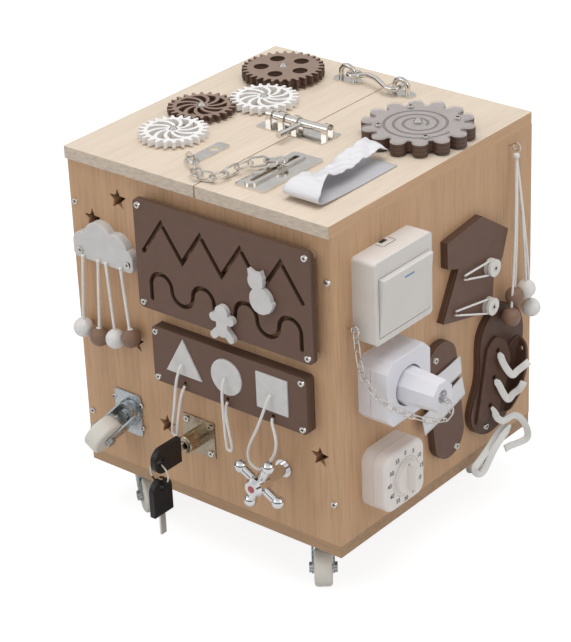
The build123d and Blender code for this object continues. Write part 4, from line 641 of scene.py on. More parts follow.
LACES = [
    [
        (82, 116.2, 13.2), (80.6, 113.4, 16.4), (80.6, 108.9, 18), (83.9, 101.3, 19.5),
        (88.2, 93.2, 22), (90.6, 90.6, 24), (93.8, 94.7, 26), (97.2, 98.5, 29.5),
        (100, 101.9, 32.6), (103.6, 103.4, 33.6),
    ],
    [
        (75.2, 89.4, 13.2), (75.8, 86.6, 16.2), (77.8, 82, 17.2), (79.9, 75.2, 19),
        (83.5, 66.9, 21.5), (85.6, 65.8, 22.9), (87.6, 72.3, 25.6), (90.3, 75.6, 29.5),
        (91.5, 81, 33.5), (93.8, 85.8, 34.5),
    ],
    [
        (69.2, 61.6, 13.2), (69.9, 58.8, 15.8), (70.8, 54.8, 16.6), (73.7, 48.2, 17),
        (80.9, 41.8, 18.5), (88.1, 41.2, 18.5), (97.5, 40.9, 18), (104.8, 38.3, 19),
        (116, 26.6, 19.5), (124.4, 11.9, 19), (125.6, 3.1, 19), (120.1, 1.2, 17.6),
        (103.1, 5.6, 18.5), (94, 7.4, 17.4), (87.6, 7, 16.8),
    ],
    [
        (92.5, 33.3, 19.5), (82.6, 29, 20.4), (66.2, 22.3, 20.5), (54.2, 8.8, 19.5),
        (47.4, 0.7, 19), (39.3, 1, 18), (31.6, 10.9, 17.8), (42.2, 14.6, 17.4),
        (62.7, 19.4, 15), (79.9, 28.3, 13.6), (91.3, 30.9, 13.4),
    ],
]
# The lace lies flat towards the front and the right
LACE_FACING = Vector((0.6, -0.75, 0.3))
# Share of its width that it has at a hole, and how fast it widens along its run
LACE_GATHER = 0.45
LACE_SPREAD = 8


def place_on(path, share):
    """The place at a share of a path's length, and the path's direction there."""
    lengths = [(b - a).length for a, b in zip(path[:-1], path[1:])]
    left = max(0.0, min(1.0, share)) * sum(lengths)
    index = 0
    while index < len(lengths) - 1 and left > lengths[index]:
        left -= lengths[index]
        index += 1
    part = left / lengths[index]
    beside = min(max(index + (1 if part > 0.5 else -1), 0), len(lengths) - 1)
    here, next_run = path[index + 1] - path[index], path[beside + 1] - path[beside]
    return path[index] + here * part, here.normalized().lerp(next_run.normalized(), abs(part - 0.5))


def tape(name, points, facing, width, columns, fold=None):
    """A strip along a smooth line, flat towards a facing or else level along X, with its folds."""
    path, reach = line_path(points)
    work = bmesh.new()
    bmesh.ops.create_grid(work, x_segments=columns, y_segments=100, size=0.5)
    for vertex in work.verts:
        share, along = vertex.co.x, vertex.co.y + 0.5
        place, turn = place_on(path, along)
        side = turn.cross(facing).normalized() if facing else X_AXIS
        narrow, lift, shift = fold(along, share) if fold else (1.0, 0.0, 0.0)
        place += side * (share * narrow * width + shift)
        vertex.co = place + side.cross(turn).normalized() * lift
    return mesh_from(work, name), path, reach


def drawn_in(along, share):
    """Width, lift and shift of a flat lace, gathered narrow where it leaves its hole."""
    return min(1.0, LACE_GATHER + LACE_SPREAD * along), 0.0, 0.0


def thicken(piece, thickness):
    """Gives a sheet its thickness, with the second material on its back."""
    solid = piece.modifiers.new("Thickness", "SOLIDIFY")
    solid.thickness = thickness
    solid.offset = 0
    solid.material_offset = 1
    solid.material_offset_rim = 1


class CUBE_OT_lace(bpy.types.Operator):
    """Flat lace of the shoe, in four runs between its holes"""

    bl_idname = "cube.lace"
    bl_label = "Lace"

    def execute(self, context):
        colours, sizes = chosen()
        braid = woven("Flat cotton lace", colours.cord_white, CORD_THREAD, 0.4)
        for number, route in enumerate(LACES, 1):
            points = [right_point(p) for p in route]
            name = f"lace_run_{number}"
            data, path, reach = tape(name, points, LACE_FACING, sizes.lace, 6, drawn_in)
            piece = new_piece(name, data, [braid, braid], "cube", "white_cord", "shoe_lace")
            thicken(piece, sizes.lace_thick)
        return {"FINISHED"}


# Points where the links of the chains meet, in the frame's millimetres
DOOR_CHAIN = [
    (-31.22, -121.65, 395.8), (-19.52, -129.46, 395.8), (-10, -139.67, 395.8), (1.1, -148, 395.8),
    (14.38, -143.65, 395.8), (18.62, -130.37, 395.8), (20.2, -116.6, 396.52), (25, -103.67, 398.07),
    (34.5, -93.25, 398.6),
]
PLUG_CHAIN = [
    (165.62, -135.03, 280.83), (166.45, -135.01, 271.33), (167.42, -134.92, 261.83),
    (168.67, -134.67, 252.33), (170.37, -134.18, 242.97), (173.03, -133.18, 233.63),
    (178.7, -132.03, 225.82), (185.23, -130.43, 219.03), (191.97, -127.33, 212.97),
    (198.23, -122.66, 207.48), (203.97, -116.57, 202.47), (211.33, -111.56, 198.93),
    (219, -106.58, 195.93), (226.9, -101.4, 194.27), (234.7, -96.1, 196.4),
    (238.85, -91.96, 203.95), (233.74, -89.98, 211.88), (223.78, -89.92, 215.07),
]
LINK_STEPS = 8


def chain_mesh(name, joints, wire, inner_width, slack):
    """Round-wire oval links between joint points, each a quarter turn from the one before."""
    runs = [(b - a).normalized() for a, b in zip(joints[:-1], joints[1:])]
    facings = [runs[0].cross(Y_AXIS).normalized()]
    for before, along in zip(runs[:-1], runs[1:]):
        facings.append(before.rotation_difference(along) @ facings[-1])
    # A twist is shared out among the links so that the last one stands upright
    last = Matrix.Rotation(math.radians(90 * (len(runs) - 1)), 3, runs[-1]) @ facings[-1]
    goal = runs[-1].cross(Z_AXIS)
    twist = math.atan2(last.cross(goal).dot(runs[-1]), last.dot(goal))
    twist = (twist + math.pi / 2) % math.pi - math.pi / 2
    line = bpy.data.curves.new(name, "CURVE")
    line.dimensions = "3D"
    line.bevel_depth = wire / 2
    line.bevel_resolution = 3
    radius = (inner_width + wire) / 2
    for link, along in enumerate(runs):
        roll = math.pi / 2 * link + twist * link / (len(runs) - 1)
        across = along.cross(Matrix.Rotation(roll, 3, along) @ facings[link])
        middle = (joints[link] + joints[link + 1]) / 2
        straight = ((joints[link + 1] - joints[link]).length + slack + wire) / 2 - radius
        spline = line.splines.new("POLY")
        spline.points.add(2 * LINK_STEPS + 1)
        for step, target in enumerate(spline.points):
            half, turn = divmod(step, LINK_STEPS + 1)
            angle = math.pi * (turn / LINK_STEPS + half) - math.pi / 2
            shift = straight if half == 0 else -straight
            place = middle + along * (shift + radius * math.cos(angle)) + across * radius * math.sin(angle)
            target.co = (*place, 1)
        spline.use_cyclic_u = True
    return curve_mesh(name, line)


class CUBE_OT_chains(bpy.types.Operator):
    """Links of the door chain and of the plug's chain"""

    bl_idname = "cube.chains"
    bl_label = "Chains"

    def execute(self, context):
        colours, sizes = chosen()
        steel = plated("Nickel-plated chain", colours.nickel, 0.22)
        for chain, places, wire, width, slack, body in (
            ("door_chain", DOOR_CHAIN, sizes.door_wire, 7.0, 2.1, "chain_slider"),
            ("plug_chain", PLUG_CHAIN, sizes.plug_wire, 4.6, 1.5, "plug"),
        ):
            joints = [Vector(p) * MM for p in places]
            name = f"{chain}_links"
            data = chain_mesh(name, joints, wire, width * MM, slack * MM)
            piece = new_piece(name, data, [steel], None, "bright_steel", chain)
            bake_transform(piece)
        return {"FINISHED"}


# The strap's loop seen from the side: along Y from its place, and up from the top boards
STRAP_PROFILE = [
    (43, 0), (-64, 0), (-74, 7.5), (-65, 15), (-48, 16.5), (-34, 13.5),
    (-23, 9), (-10, 9.5), (10, 13.5), (33, 15), (46, 15.5), (52, 10),
]
STRAP_PLACE = (109.0, -63.963, 0.75)
STRAP_WIDTH = 40.0 * MM
STRAP_THREAD = 1.6
CREASE_HEIGHT = 2.2 * MM
CREASE_ROLL = 6.0 * MM
CREASE_SHIFT = 7.0 * MM
# Each tape of the right side: its two ends across and up, and its width
TAPES = [((-27.0, 121.5), (24.0, 128.0), 20.0), ((-37.0, 88.0), (28.0, 103.5), 22.0)]
TAPE_OUT = 8.9
TAPE_BOW = Vector((1.8, 0, 0.05)) * MM


def crumple(along, share):
    """Width, lift and shift of the strap: its upper run is creased and gathered, the lower run flat."""
    upper = max(0.0, min(1.0, (along - 0.5) * 8))
    turn = (along - 0.5) * 4 * math.pi
    crease = abs(math.sin(2.3 * turn + 3.1 * share)) + 0.6 * abs(math.sin(4.7 * turn - 5 * share))
    gather = 1 - upper * (0.42 + 0.1 * math.sin(1.3 * turn + 1))
    roll = CREASE_ROLL * share * math.cos(1.1 * turn + 0.4)
    return gather, upper * (CREASE_HEIGHT * (crease - 0.8) - roll), -upper * CREASE_SHIFT


class CUBE_OT_straps(bpy.types.Operator):
    """Folded satin strap on the top and the two tapes on their board"""

    bl_idname = "cube.straps"
    bl_label = "Straps"

    def execute(self, context):
        colours, sizes = chosen()
        satin = woven("White satin ribbon", colours.strap_white, STRAP_THREAD, 0.5, 0.34, 0.05)
        # The back of the ribbon is greyed as painted shade, for the run that lies under the fold
        shaded_lining = woven("Ribbon back, greyed as painted shade", colours.strap_shaded_back, STRAP_THREAD, 0.3, 0.6, 0.12)

        x, y, z = (part * MM for part in STRAP_PLACE)
        points = [Vector((x, y + along * MM, TOP_Z + z + up * MM)) for along, up in STRAP_PROFILE]
        strips = [("top_strap", points, None, STRAP_WIDTH, 24, crumple, "folded", "top_boards")]
        for number, (start, end, width) in enumerate(TAPES, 1):
            first, last = right_point((*start, TAPE_OUT)), right_point((*end, TAPE_OUT))
            points = [first, (first + last) / 2 + TAPE_BOW, last]
            name = f"tape_{number}"
            strips.append((name, points, X_AXIS, width * MM, 8, None, "stretched", "side_boards"))
        for name, points, facing, width, columns, fold, state, under in strips:
            data, _, reach = tape(name, points, facing, width, columns, fold)
            piece = new_piece(name, data, [satin, shaded_lining], "cube", "grey_fabric", "fabric_straps")
            thicken(piece, sizes.strap)
        return {"FINISHED"}


FLAP_OUTLINE = [(-20, -42), (11, -38), (16, -12), (17, 18), (9, 36), (-8, 44), (-20, 36)]
FLAP_CORNER = 9.0
# The sheet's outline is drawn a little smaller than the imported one
FLAP_SHARE = 0.985
FLAP_START = -20
FLAP_SPAN = 37
FLAP_FOOT = 42
FLAP_ROUND = 0.5 * MM
# Cuts across the flap at which it can bend
FLAP_CUTS = range(-18, 17, 3)
LACE_HOLE = 3.0
HOLE_STEPS = 20
# Each flap: side, mirror, level, share of the height, section, taper at the foot, lean, holes across and up
FLAPS = [
    (
        "left", 1, 90.0, 1.0, [(58.0, 9.6), (68.0, 9.7), (78.0, 10.6), (86.0, 13.0), (91.5, 17.0)],
        0.0, 0.235, -1.3, (28.0, 1.0, -27.0),
    ),
    (
        "right", -1, 83.5, 0.88,
        [(90.0, 9.6), (98.0, 10.2), (102.5, 13.4), (101.5, 20.0), (98.5, 27.0), (96.0, 32.0)],
        0.35, 0.38, 2.6, (31.0, 2.0, -26.0),
    ),
]


def flap_sheet(name, mirror, thickness, holes):
    """A flat flap with rounded corners and lace holes, cut in strips so that it can bend."""
    corners = [Vector((mirror * x, y, 0)) * FLAP_SHARE * MM for x, y in FLAP_OUTLINE]
    line = bpy.data.curves.new(name, "CURVE")
    line.dimensions = "2D"
    line.fill_mode = "BOTH"
    line.extrude = thickness / 2 - FLAP_ROUND
    line.bevel_depth = FLAP_ROUND
    line.bevel_resolution = 2
    spline = line.splines.new("NURBS")
    spline.points.add(3 * len(corners) - 1)
    for number, corner in enumerate(corners):
        for step, end in enumerate((corners[number - 1], corner, corners[(number + 1) % len(corners)])):
            reach = min(0.5, FLAP_CORNER * MM / max((end - corner).length, MM))
            spline.points[3 * number + step].co = (*corner.lerp(end, reach), 1)
    spline.use_cyclic_u = True
    spline.order_u = 3
    spline.resolution_u = 6
    for across, height in holes:
        hole = line.splines.new("POLY")
        hole.points.add(HOLE_STEPS - 1)
        for step, target in enumerate(hole.points):
            angle = step * math.tau / HOLE_STEPS
            x, y = across + LACE_HOLE * math.cos(angle), height + LACE_HOLE * math.sin(angle)
            target.co = (x * MM, y * MM, 0, 1)
        hole.use_cyclic_u = True
    work = bmesh.new()
    work.from_mesh(curve_mesh(name, line))
    bmesh.ops.remove_doubles(work, verts=work.verts, dist=0.02 * MM)
    for step in FLAP_CUTS:
        parts = work.verts[:] + work.edges[:] + work.faces[:]
        bmesh.ops.bisect_plane(work, geom=parts, plane_co=X_AXIS * mirror * step * MM, plane_no=X_AXIS)
    return work


class CUBE_OT_flaps(bpy.types.Operator):
    """Leather flaps of the shoe, each with three lace holes"""

    bl_idname = "cube.flaps"
    bl_label = "Shoe flaps"

    def execute(self, context):
        colours, sizes = chosen()
        hide = tanned("Brown leather", colours.leather)
        for side, mirror, level, tall, section, taper, lean, hole_place, hole_heights in FLAPS:
            name = f"flap_{side}"
            work = flap_sheet(name, mirror, sizes.flap, [(mirror * hole_place, up) for up in hole_heights])
            path, _ = line_path([right_point((across, level, out)) for across, out in section])
            for vertex in work.verts:
                x, y, z = vertex.co
                drawn = 1 - taper * min(0.0, y / MM / FLAP_FOOT) ** 2
                place, turn = place_on(path, (mirror * x / MM - FLAP_START) / FLAP_SPAN * drawn)
                rise = Vector((0, lean * tall * y, tall * y))
                vertex.co = place + turn.cross(Z_AXIS).normalized() * z + rise
            new_piece(name, mesh_from(work, name), [hide], "cube", "brown_leather", "shoe_upper")
        return {"FINISHED"}


# The key's head ends at this Y, and the spare key's head has this middle height and half height
KEY_SPLIT = -0.185
SPARE_HEAD = (0.08787, 0.0185)
# Roughness and metal of the keys: first the head, then the blade
KEY_ROUGH = (0.4, 0.28)
KEY_METAL = (0.0, 1.0)
BROWN_BEADS = [(104.9, 169.0, 15.2), (94.6, 151.5, 18.2)]
BEAD_RADIUS = 9.6 * MM


class CUBE_OT_metal(bpy.types.Operator):
    """Finishes of the latches, lock, keys, tap, screws and casters"""

    bl_idname = "cube.metal"
    bl_label = "Metal"

    def execute(self, context):
        colours = context.scene.cube_colours
        nickel = plated("Nickel-plated steel", colours.nickel, 0.16)
        dress(nickel, "latch_plates", "chain_slider", "bolt_rod", "hook_arm", "fasteners", "gear_pivots")
        dress(plated("Satin nickel of the lock", colours.lock_nickel, 0.28), "lock_body")
        dress(plated("Polished chrome", colours.chrome, 0.07), "tap_stem", "tap_handle")
        casters = ("front", "1", "2", "3", "4")
        zinc = plated("Zinc-plated steel", colours.zinc, 0.28)
        dress(zinc, "caster_plates", *(f"caster_fork_{c}" for c in casters))
        dress(moulded("Ivory nylon", colours.wheel, 0.42), *(f"caster_wheel_{c}" for c in casters))
        tints = (colours.key_black, colours.nickel)
        dress(split_finish("Key, head and blade", *tints, 1, KEY_SPLIT, KEY_ROUGH, KEY_METAL), "lock_key")
        name, (level, half) = "Spare key, head and blade", SPARE_HEAD
        dress(split_finish(name, *tints, 2, level, KEY_ROUGH, KEY_METAL, half), "spare_key")
        return {"FINISHED"}


class CUBE_OT_plastics(bpy.types.Operator):
    """Finishes of the switch, socket, plug, timer, buttons and bead bunch"""

    bl_idname = "cube.plastics"
    bl_label = "Plastics and beads"

    def execute(self, context):
        colours = context.scene.cube_colours
        switch = moulded("Pale grey switch plastic", shade(colours.switch_white, 0.92), 0.36)
        dress(switch, "switch_box", "switch_rocker")
        dress(moulded("Cool white socket plastic", colours.socket_white, 0.3), "wall_socket", "plug")
        dress(moulded("Warm white timer plastic", colours.timer_white, 0.36), "timer_case", "timer_knob")
        dress(moulded("White nylon buttons", colours.switch_white, 0.34), "coat_buttons")
        tints = (colours.cord_white, colours.bead_brown)
        centres = [right_point(p) for p in BROWN_BEADS]
        dress(bead_finish("Painted beads on cords", *tints, centres, BEAD_RADIUS), "bead_bunch")
        return {"FINISHED"}


# Screw heads of the front, group by group: places across, places up, and how far out they stand
FRONT_SCREWS = [
    ((-151.5, 151.5), (56.44, 283.56), 1.6),
    ((-140.575, -80.535), (239.26,), 10.6),
    ((-59.57, 136.43), (208.9, 307.9), 13.6),
    ((-47.495, 127.505), (133.08, 181.08), 13.6),
    ((-24.895, 4.105), (60.64,), 3.1),
    ((4.105, -24.895), (89.64,), 3.1),
]
SIDE_SCREWS = [(-15.5, 149.0, 9.6), (17.5, 41.0, 9.6), (66.9, 39.5, 9.6)]
# Length, width and height of a dark bar of painted shade for a screw's cross recess
CROSS_SIZE = (3.4 * MM, 0.9 * MM, 0.12 * MM)
BUTTON_FACE = 15.6
# Radius and height of a button's screw head, and of the dark disc of painted shade that stands for its
# recess
BUTTON_HEAD = (3.4 * MM, 0.8 * MM)
BUTTON_RECESS = (1.5 * MM, 0.3 * MM)
RECESS_LIFT = Matrix.Translation((0, 0, 0.35 * MM))
WHEEL_CENTRE = Vector((103.005, 46.35, 0)) * MM
WHEEL_SCREW_REACH = X_AXIS * 37.5 * MM
WHEEL_SCREW = 3.0 * MM
CASTER_PLACE = (-101.115, 71.4, 2.0)
CASTER_ACROSS = 17.5 * MM
CASTER_UP = 12.5 * MM
CASTER_SCREW = 2.6 * MM


def add_bar(work, place, along, out, size):
    """A flat bar on a face: its middle, direction, the face's normal, and length, width and height."""
    axes = Matrix((along, out.cross(along), out)).transposed().to_4x4()
    matrix = Matrix.Translation(place) @ axes @ Matrix.Diagonal((*size, 1))
    bmesh.ops.create_cube(work, size=1, matrix=matrix)


def standing(place, out):
    """A frame at a place with its Z axis along a face's normal."""
    return Matrix.Translation(place) @ Z_AXIS.rotation_difference(out).to_matrix().to_4x4()


def add_dome(heads, slots, place, out, radius, turn):
    """A low dome head on a face, and dark bars of painted shade for its cross recess."""
    stand = standing(place, out)
    matrix = stand @ Matrix.Diagonal((radius, radius, radius * 0.45, 1))
    bmesh.ops.create_uvsphere(heads, u_segments=20, v_segments=10, radius=1, matrix=matrix)
    for arm in (0, 90):
        along = Matrix.Rotation(math.radians(turn + arm), 3, out) @ stand.to_3x3() @ X_AXIS
        size = (radius * 1.1, radius * 0.26, radius * 0.14)
        add_bar(slots, place + out * radius * 0.42, along, out, size)


class CUBE_OT_screws(bpy.types.Operator):
    """Dark bars of painted shade for the cross recesses of the screw heads, and the screws of the buttons,
    the wheel and the front caster
    """

    bl_idname = "cube.screws"
    bl_label = "Screws"

    def execute(self, context):
        colours = context.scene.cube_colours
        # The dark bars and discs on the heads are painted shade that stands for their recesses
        dark = plated("Painted shade of screw recesses", colours.recess, 0.5)
        spots = [
            (front_point((across, up, out)), -Y_AXIS, X_AXIS)
            for columns, rows, out in FRONT_SCREWS
            for across in columns
            for up in rows
        ]
        spots += [(right_point(place), X_AXIS, Y_AXIS) for place in SIDE_SCREWS]
        work = bmesh.new()
        # The crosses are turned unevenly, as driven screws are
        for number, (point, out, level) in enumerate(spots):
            for arm in (0, 90):
                along = Matrix.Rotation(math.radians(23 + 37 * number + arm), 3, out) @ level
                add_bar(work, point, along, out, CROSS_SIZE)
        new_piece("screw_cross_shades", work, [dark], "cube", "bright_steel")
        heads, slots = bmesh.new(), bmesh.new()
        for button in BUTTONS:
            stand = standing(right_point((*button, BUTTON_FACE)), X_AXIS)
            add_disc(heads, stand, *BUTTON_HEAD)
            add_disc(slots, stand @ RECESS_LIFT, *BUTTON_RECESS)
        steel = plated("Button screw head", colours.nickel, 0.3)
        new_piece("button_screws", heads, [steel], "cube", "bright_steel")
        new_piece("button_recess_shades", slots, [dark], "cube", "bright_steel")
        top = WHEEL_CENTRE + Z_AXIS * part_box("spiral_cover")[1].z
        wheel, caster = [], []
        for corner, (right, up) in enumerate(((-1, -1), (-1, 1), (1, -1), (1, 1))):
            reach = Matrix.Rotation(math.radians(47 + 90 * corner), 3, "Z") @ WHEEL_SCREW_REACH
            wheel.append((top + reach, Z_AXIS, WHEEL_SCREW, 31 * corner))
            spot = front_point(CASTER_PLACE) + X_AXIS * CASTER_ACROSS * right + Z_AXIS * CASTER_UP * up
            caster.append((spot, -Y_AXIS, CASTER_SCREW, 29 * up + 50 * right))
        for name, body, domes in (("wheel", "spiral", wheel), ("caster", "cube", caster)):
            heads, slots = bmesh.new(), bmesh.new()
            for dome in domes:
                add_dome(heads, slots, *dome)
            new_piece(f"{name}_screws", mesh_from(heads, f"{name}_screws"), [steel], body, "bright_steel")
            new_piece(f"{name}_screw_cross_shades", slots, [dark], body, "bright_steel")
        return {"FINISHED"}


# Middle of the timer across and up, and how far out its scale and its knob's face stand
TIMER_PLACE = (-90.846, 67.66)
TIMER_FACE = 28.0
KNOB_FACE = 32.3
TICK_REACH = 19.6 * MM
TICK_LONG = 2.0 * MM
TICK_SHORT = 1.1 * MM
TICK_SECTION = (0.35 * MM, 0.1 * MM)
NUMBER_REACH = 24.4 * MM
NUMBER_SIZE = 6.2 * MM
NUMBER_BOLD = 0.14 * MM
NUMBER_RAISED = 0.06 * MM
POINTER_REACH = 13.2 * MM
POINTER_SIZE = (2.1 * MM, 0.2 * MM)
ROCKER_CENTRE = Vector((183.5, -85.593, 303.06)) * MM
ROCKER_LEAN = math.radians(5)
# The glow bar's place on the rocker: up its face, out of it, and along Y
GLOW_UP = 20.5 * MM
GLOW_OUT = 3.0 * MM
GLOW_ASIDE = 1.5 * MM
GLOW_SIZE = (13.5 * MM, 1.7 * MM, 0.3 * MM)
SWITCH_TOP = (-85.6, 299.06)
# Lines of the knockout on the switch's top: across, out from the side, direction, length and width
KNOCKOUT = [
    (-9.5, 6.0, X_AXIS, 9.0, 0.7),
    (9.5, 6.0, X_AXIS, 9.0, 0.7),
    (0.0, 10.5, Y_AXIS, 17.0, 0.7),
    (0.0, 2.6, Y_AXIS, 9.0, 4.4),
]
KNOCKOUT_HEIGHT = 0.12
TAP_CAP = (92.925, 75.48, 48.35)
TAP_DOT = (3.6 * MM, 0.4 * MM)
# Turns the XY plane upright, so that it faces along X
FACING_RIGHT = Matrix(((0, 0, 1), (1, 0, 0), (0, 1, 0))).to_4x4()


class CUBE_OT_marks(bpy.types.Operator):
    """Scale and pointer of the timer, marks of the switch and the dot of the tap"""

    bl_idname = "cube.marks"
    bl_label = "Dial and switch marks"

    def execute(self, context):
        colours = context.scene.cube_colours
        ink = moulded("Dark grey print", colours.print_grey, 0.5)
        dial = right_point((*TIMER_PLACE, TIMER_FACE))
        ticks = bmesh.new()
        for minute in range(60):
            angle = math.radians(90 - 6 * minute)
            reach = Vector((0, math.cos(angle), math.sin(angle)))
            size = (TICK_SHORT if minute % 5 else TICK_LONG, *TICK_SECTION)
            add_bar(ticks, dial + reach * TICK_REACH, reach, X_AXIS, size)
        new_piece("timer_ticks", ticks, [ink], "cube", "white_plastic")
        for number in range(12):
            angle = math.radians(90 - 30 * number)
            name = f"timer_number_{number}"
            text = bpy.data.curves.new(name, "FONT")
            text.body = str(5 * number)
            text.size = NUMBER_SIZE
            text.offset = NUMBER_BOLD
            text.align_x = "CENTER"
            text.align_y = "CENTER"
            text.extrude = NUMBER_RAISED
            data = curve_mesh(name, text)
            reach = Vector((0, math.cos(angle), math.sin(angle))) * NUMBER_REACH
            data.transform(Matrix.Translation(dial + reach) @ FACING_RIGHT)
            new_piece(name, data, [ink], "cube", "white_plastic")
        pointer = bmesh.new()
        place = Matrix.Translation(right_point((*TIMER_PLACE, KNOB_FACE)) + Z_AXIS * POINTER_REACH)
        upright = place @ FACING_RIGHT @ Matrix.Rotation(math.radians(90), 4, "Z")
        add_disc(pointer, upright, *POINTER_SIZE, 3)
        red = moulded("Red print", colours.dial_mark, 0.4)
        new_piece("timer_pointer", pointer, [red], "timer_knob", "white_plastic")
        face = Vector((math.cos(ROCKER_LEAN), 0, -math.sin(ROCKER_LEAN)))
        rise = Vector((math.sin(ROCKER_LEAN), 0, math.cos(ROCKER_LEAN)))
        bar = bmesh.new()
        middle = ROCKER_CENTRE + rise * GLOW_UP + face * GLOW_OUT + Y_AXIS * GLOW_ASIDE
        add_bar(bar, middle, Y_AXIS, face, GLOW_SIZE)
        glow = moulded("Blue switch mark", colours.switch_mark, 0.3)
        new_piece("switch_bar", bar, [glow], "rocker", "white_plastic")
        outline = bmesh.new()
        for across, out, along, reach, width in KNOCKOUT:
            spot = right_point((SWITCH_TOP[0] + across, SWITCH_TOP[1], out))
            size = [part * MM for part in (reach, width, KNOCKOUT_HEIGHT)]
            add_bar(outline, spot, along, Z_AXIS, size)
        new_piece("switch_knockout", outline, [ink], "cube", "white_plastic")
        dot = bmesh.new()
        add_disc(dot, standing(front_point(TAP_CAP), -Y_AXIS), *TAP_DOT)
        pink = moulded("Hot mark of the tap", colours.tap_mark, 0.3)
        new_piece("tap_dot", dot, [pink], "tap_handle", "bright_steel")
        return {"FINISHED"}


FLOOR_HALF = 4.0
FLOOR_GREY = (0.8, 0.8, 0.8, 1)
SHADOW_GREY = (0.3, 0.3, 0.3, 1)
FLOOR_GLOW = (0.86, 0.86, 0.86, 1)
ROOM_STRENGTH = 0.42
WHITE = (1, 1, 1, 1)
# How bright metal sees the room, from level with the floor at nought to straight up at one
WALLS = [(0.0, 0.9), (0.05, 0.08), (0.26, 0.03), (0.38, 0.7), (0.6, 0.9), (1.0, 0.6)]
# Each light: name, place, watts, width, and whether metal and plastic mirror it
LIGHTS = [
    ("top_softbox", (0.1, -0.1, 2.4), 34.0, 2.0, False),
    ("front_softbox", (-1.2, -2.2, 1.5), 9.0, 1.4, True),
    ("side_softbox", (2.6, 0.2, 1.4), 8.0, 1.4, True),
]
LIGHT_AIM = Vector((0, 0, 0.25))
# The camera that was fitted to the photo: place, turn, rise and roll, focal length and shifts
CAMERA_PLACE = (1.3154, -1.5874, 1.2540)
CAMERA_ANGLES = (39.65, 27.34, -2.15)
CAMERA_LENS = 149.1
CAMERA_SENSOR = 36.0
CAMERA_SHIFT = (-0.0391, -0.0051)
CAMERA_REACH = 20.0


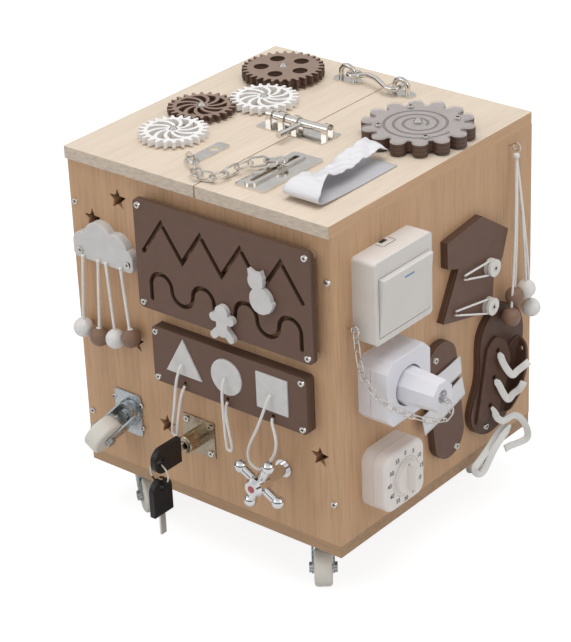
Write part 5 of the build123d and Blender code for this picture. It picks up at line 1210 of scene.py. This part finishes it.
class CUBE_OT_stage(bpy.types.Operator):
    """White floor, soft studio lights and the camera"""

    bl_idname = "cube.stage"
    bl_label = "Stage"

    def execute(self, context):
        scene = context.scene
        work = bmesh.new()
        bmesh.ops.create_grid(work, x_segments=1, y_segments=1, size=FLOOR_HALF)
        floor = placed("floor", mesh_from(work, "floor", False))
        paper = bpy.data.materials.new("White paper floor")
        floor.data.materials.append(paper)
        tree = empty_tree(paper)
        # Camera rays see white paper that keeps a soft shadow; other rays see a plain matte floor
        rays = add_node(tree, "LightPath").outputs
        matte = add_node(tree, "BsdfDiffuse", (), {"Color": FLOOR_GREY})
        shadow = add_node(tree, "BsdfDiffuse", (), {"Color": SHADOW_GREY})
        glow = add_node(tree, "Emission", (), {"Color": FLOOR_GLOW})
        white = add_node(tree, "AddShader", links={0: shadow, 1: glow})
        seen = add_node(tree, "MixShader", links={0: rays["Is Camera Ray"], 1: matte, 2: white})
        add_node(tree, "OutputMaterial", links={"Surface": seen})
        scene.world = bpy.data.worlds.new("Studio")
        tree = empty_tree(scene.world)
        # The room lights the object evenly, is white to the camera and has dim walls for metal
        rays = add_node(tree, "LightPath").outputs
        toward = add_node(tree, "TexCoord").outputs["Generated"]
        height = add_node(tree, "SeparateXYZ", links={"Vector": toward}).outputs[2]
        stops = [(level, (grey,) * 3) for level, grey in WALLS]
        walls = add_node(tree, "ValToRGB", (), (), {"Fac": height}, stops)
        room = add_node(tree, "Background", (), {"Color": WHITE, "Strength": ROOM_STRENGTH})
        mirror = add_node(tree, "Background", links={"Color": walls})
        white = add_node(tree, "Background", (), {"Color": WHITE})
        for ray, view in (("Glossy", mirror), ("Transmission", white), ("Camera", white)):
            room = add_node(tree, "MixShader", links={0: rays[f"Is {ray} Ray"], 1: room, 2: view})
        add_node(tree, "OutputWorld", links={"Surface": room})
        for name, place, power, width, mirrored in LIGHTS:
            lamp = bpy.data.lights.new(name, "AREA")
            lamp.energy = power
            lamp.size = width
            light = placed(name, lamp)
            light.visible_glossy = mirrored
            turn = (Vector(place) - LIGHT_AIM).to_track_quat("Z", "Y").to_matrix().to_4x4()
            light.matrix_world = Matrix.Translation(place) @ turn
        turn, rise, roll = (math.radians(angle) for angle in CAMERA_ANGLES)
        back = Vector((math.sin(turn) * math.cos(rise), -math.cos(turn) * math.cos(rise), math.sin(rise)))
        level = Vector((math.cos(turn), math.sin(turn), 0))
        upright = back.cross(level)
        right = level * math.cos(roll) + upright * math.sin(roll)
        up = upright * math.cos(roll) - level * math.sin(roll)
        lens = bpy.data.cameras.new("photo_camera")
        lens.sensor_fit = "HORIZONTAL"
        lens.sensor_width = CAMERA_SENSOR
        lens.lens = CAMERA_LENS
        lens.shift_x, lens.shift_y = CAMERA_SHIFT
        lens.clip_end = CAMERA_REACH
        scene.camera = placed("photo_camera", lens)
        axes = Matrix((right, up, back)).transposed().to_4x4()
        scene.camera.matrix_world = Matrix.Translation(CAMERA_PLACE) @ axes
        scene.view_settings.view_transform = "Standard"
        return {"FINISHED"}


OPERATORS = (
    CUBE_OT_boards,
    CUBE_OT_cover,
    CUBE_OT_metal,
    CUBE_OT_plastics,
    CUBE_OT_cords,
    CUBE_OT_lace,
    CUBE_OT_chains,
    CUBE_OT_straps,
    CUBE_OT_flaps,
    CUBE_OT_screws,
    CUBE_OT_marks,
    CUBE_OT_stage,
)


class CUBE_PT_panel(bpy.types.Panel):
    """Lists the steps that dress the cube"""

    bl_idname = "CUBE_PT_panel"
    bl_label = "Activity Cube"
    bl_space_type = "VIEW_3D"
    bl_region_type = "UI"
    bl_category = "Activity Cube"

    def draw(self, context):
        for operator in OPERATORS:
            self.layout.operator(operator.bl_idname)


CLASSES = (CubeColours, CubeSizes, *OPERATORS, CUBE_PT_panel)


def register():
    for item in CLASSES:
        bpy.utils.register_class(item)
    bpy.types.Scene.cube_colours = PointerProperty(type=CubeColours)
    bpy.types.Scene.cube_sizes = PointerProperty(type=CubeSizes)


def unregister():
    del bpy.types.Scene.cube_sizes
    del bpy.types.Scene.cube_colours
    for item in reversed(CLASSES):
        bpy.utils.unregister_class(item)


def main():
    register()
    bpy.ops.cube.boards()
    bpy.ops.cube.cover()
    bpy.ops.cube.metal()
    bpy.ops.cube.plastics()
    bpy.ops.cube.cords()
    bpy.ops.cube.lace()
    bpy.ops.cube.chains()
    bpy.ops.cube.straps()
    bpy.ops.cube.flaps()
    bpy.ops.cube.screws()
    bpy.ops.cube.marks()
    bpy.ops.cube.stage()


if __name__ == "__main__":
    main()
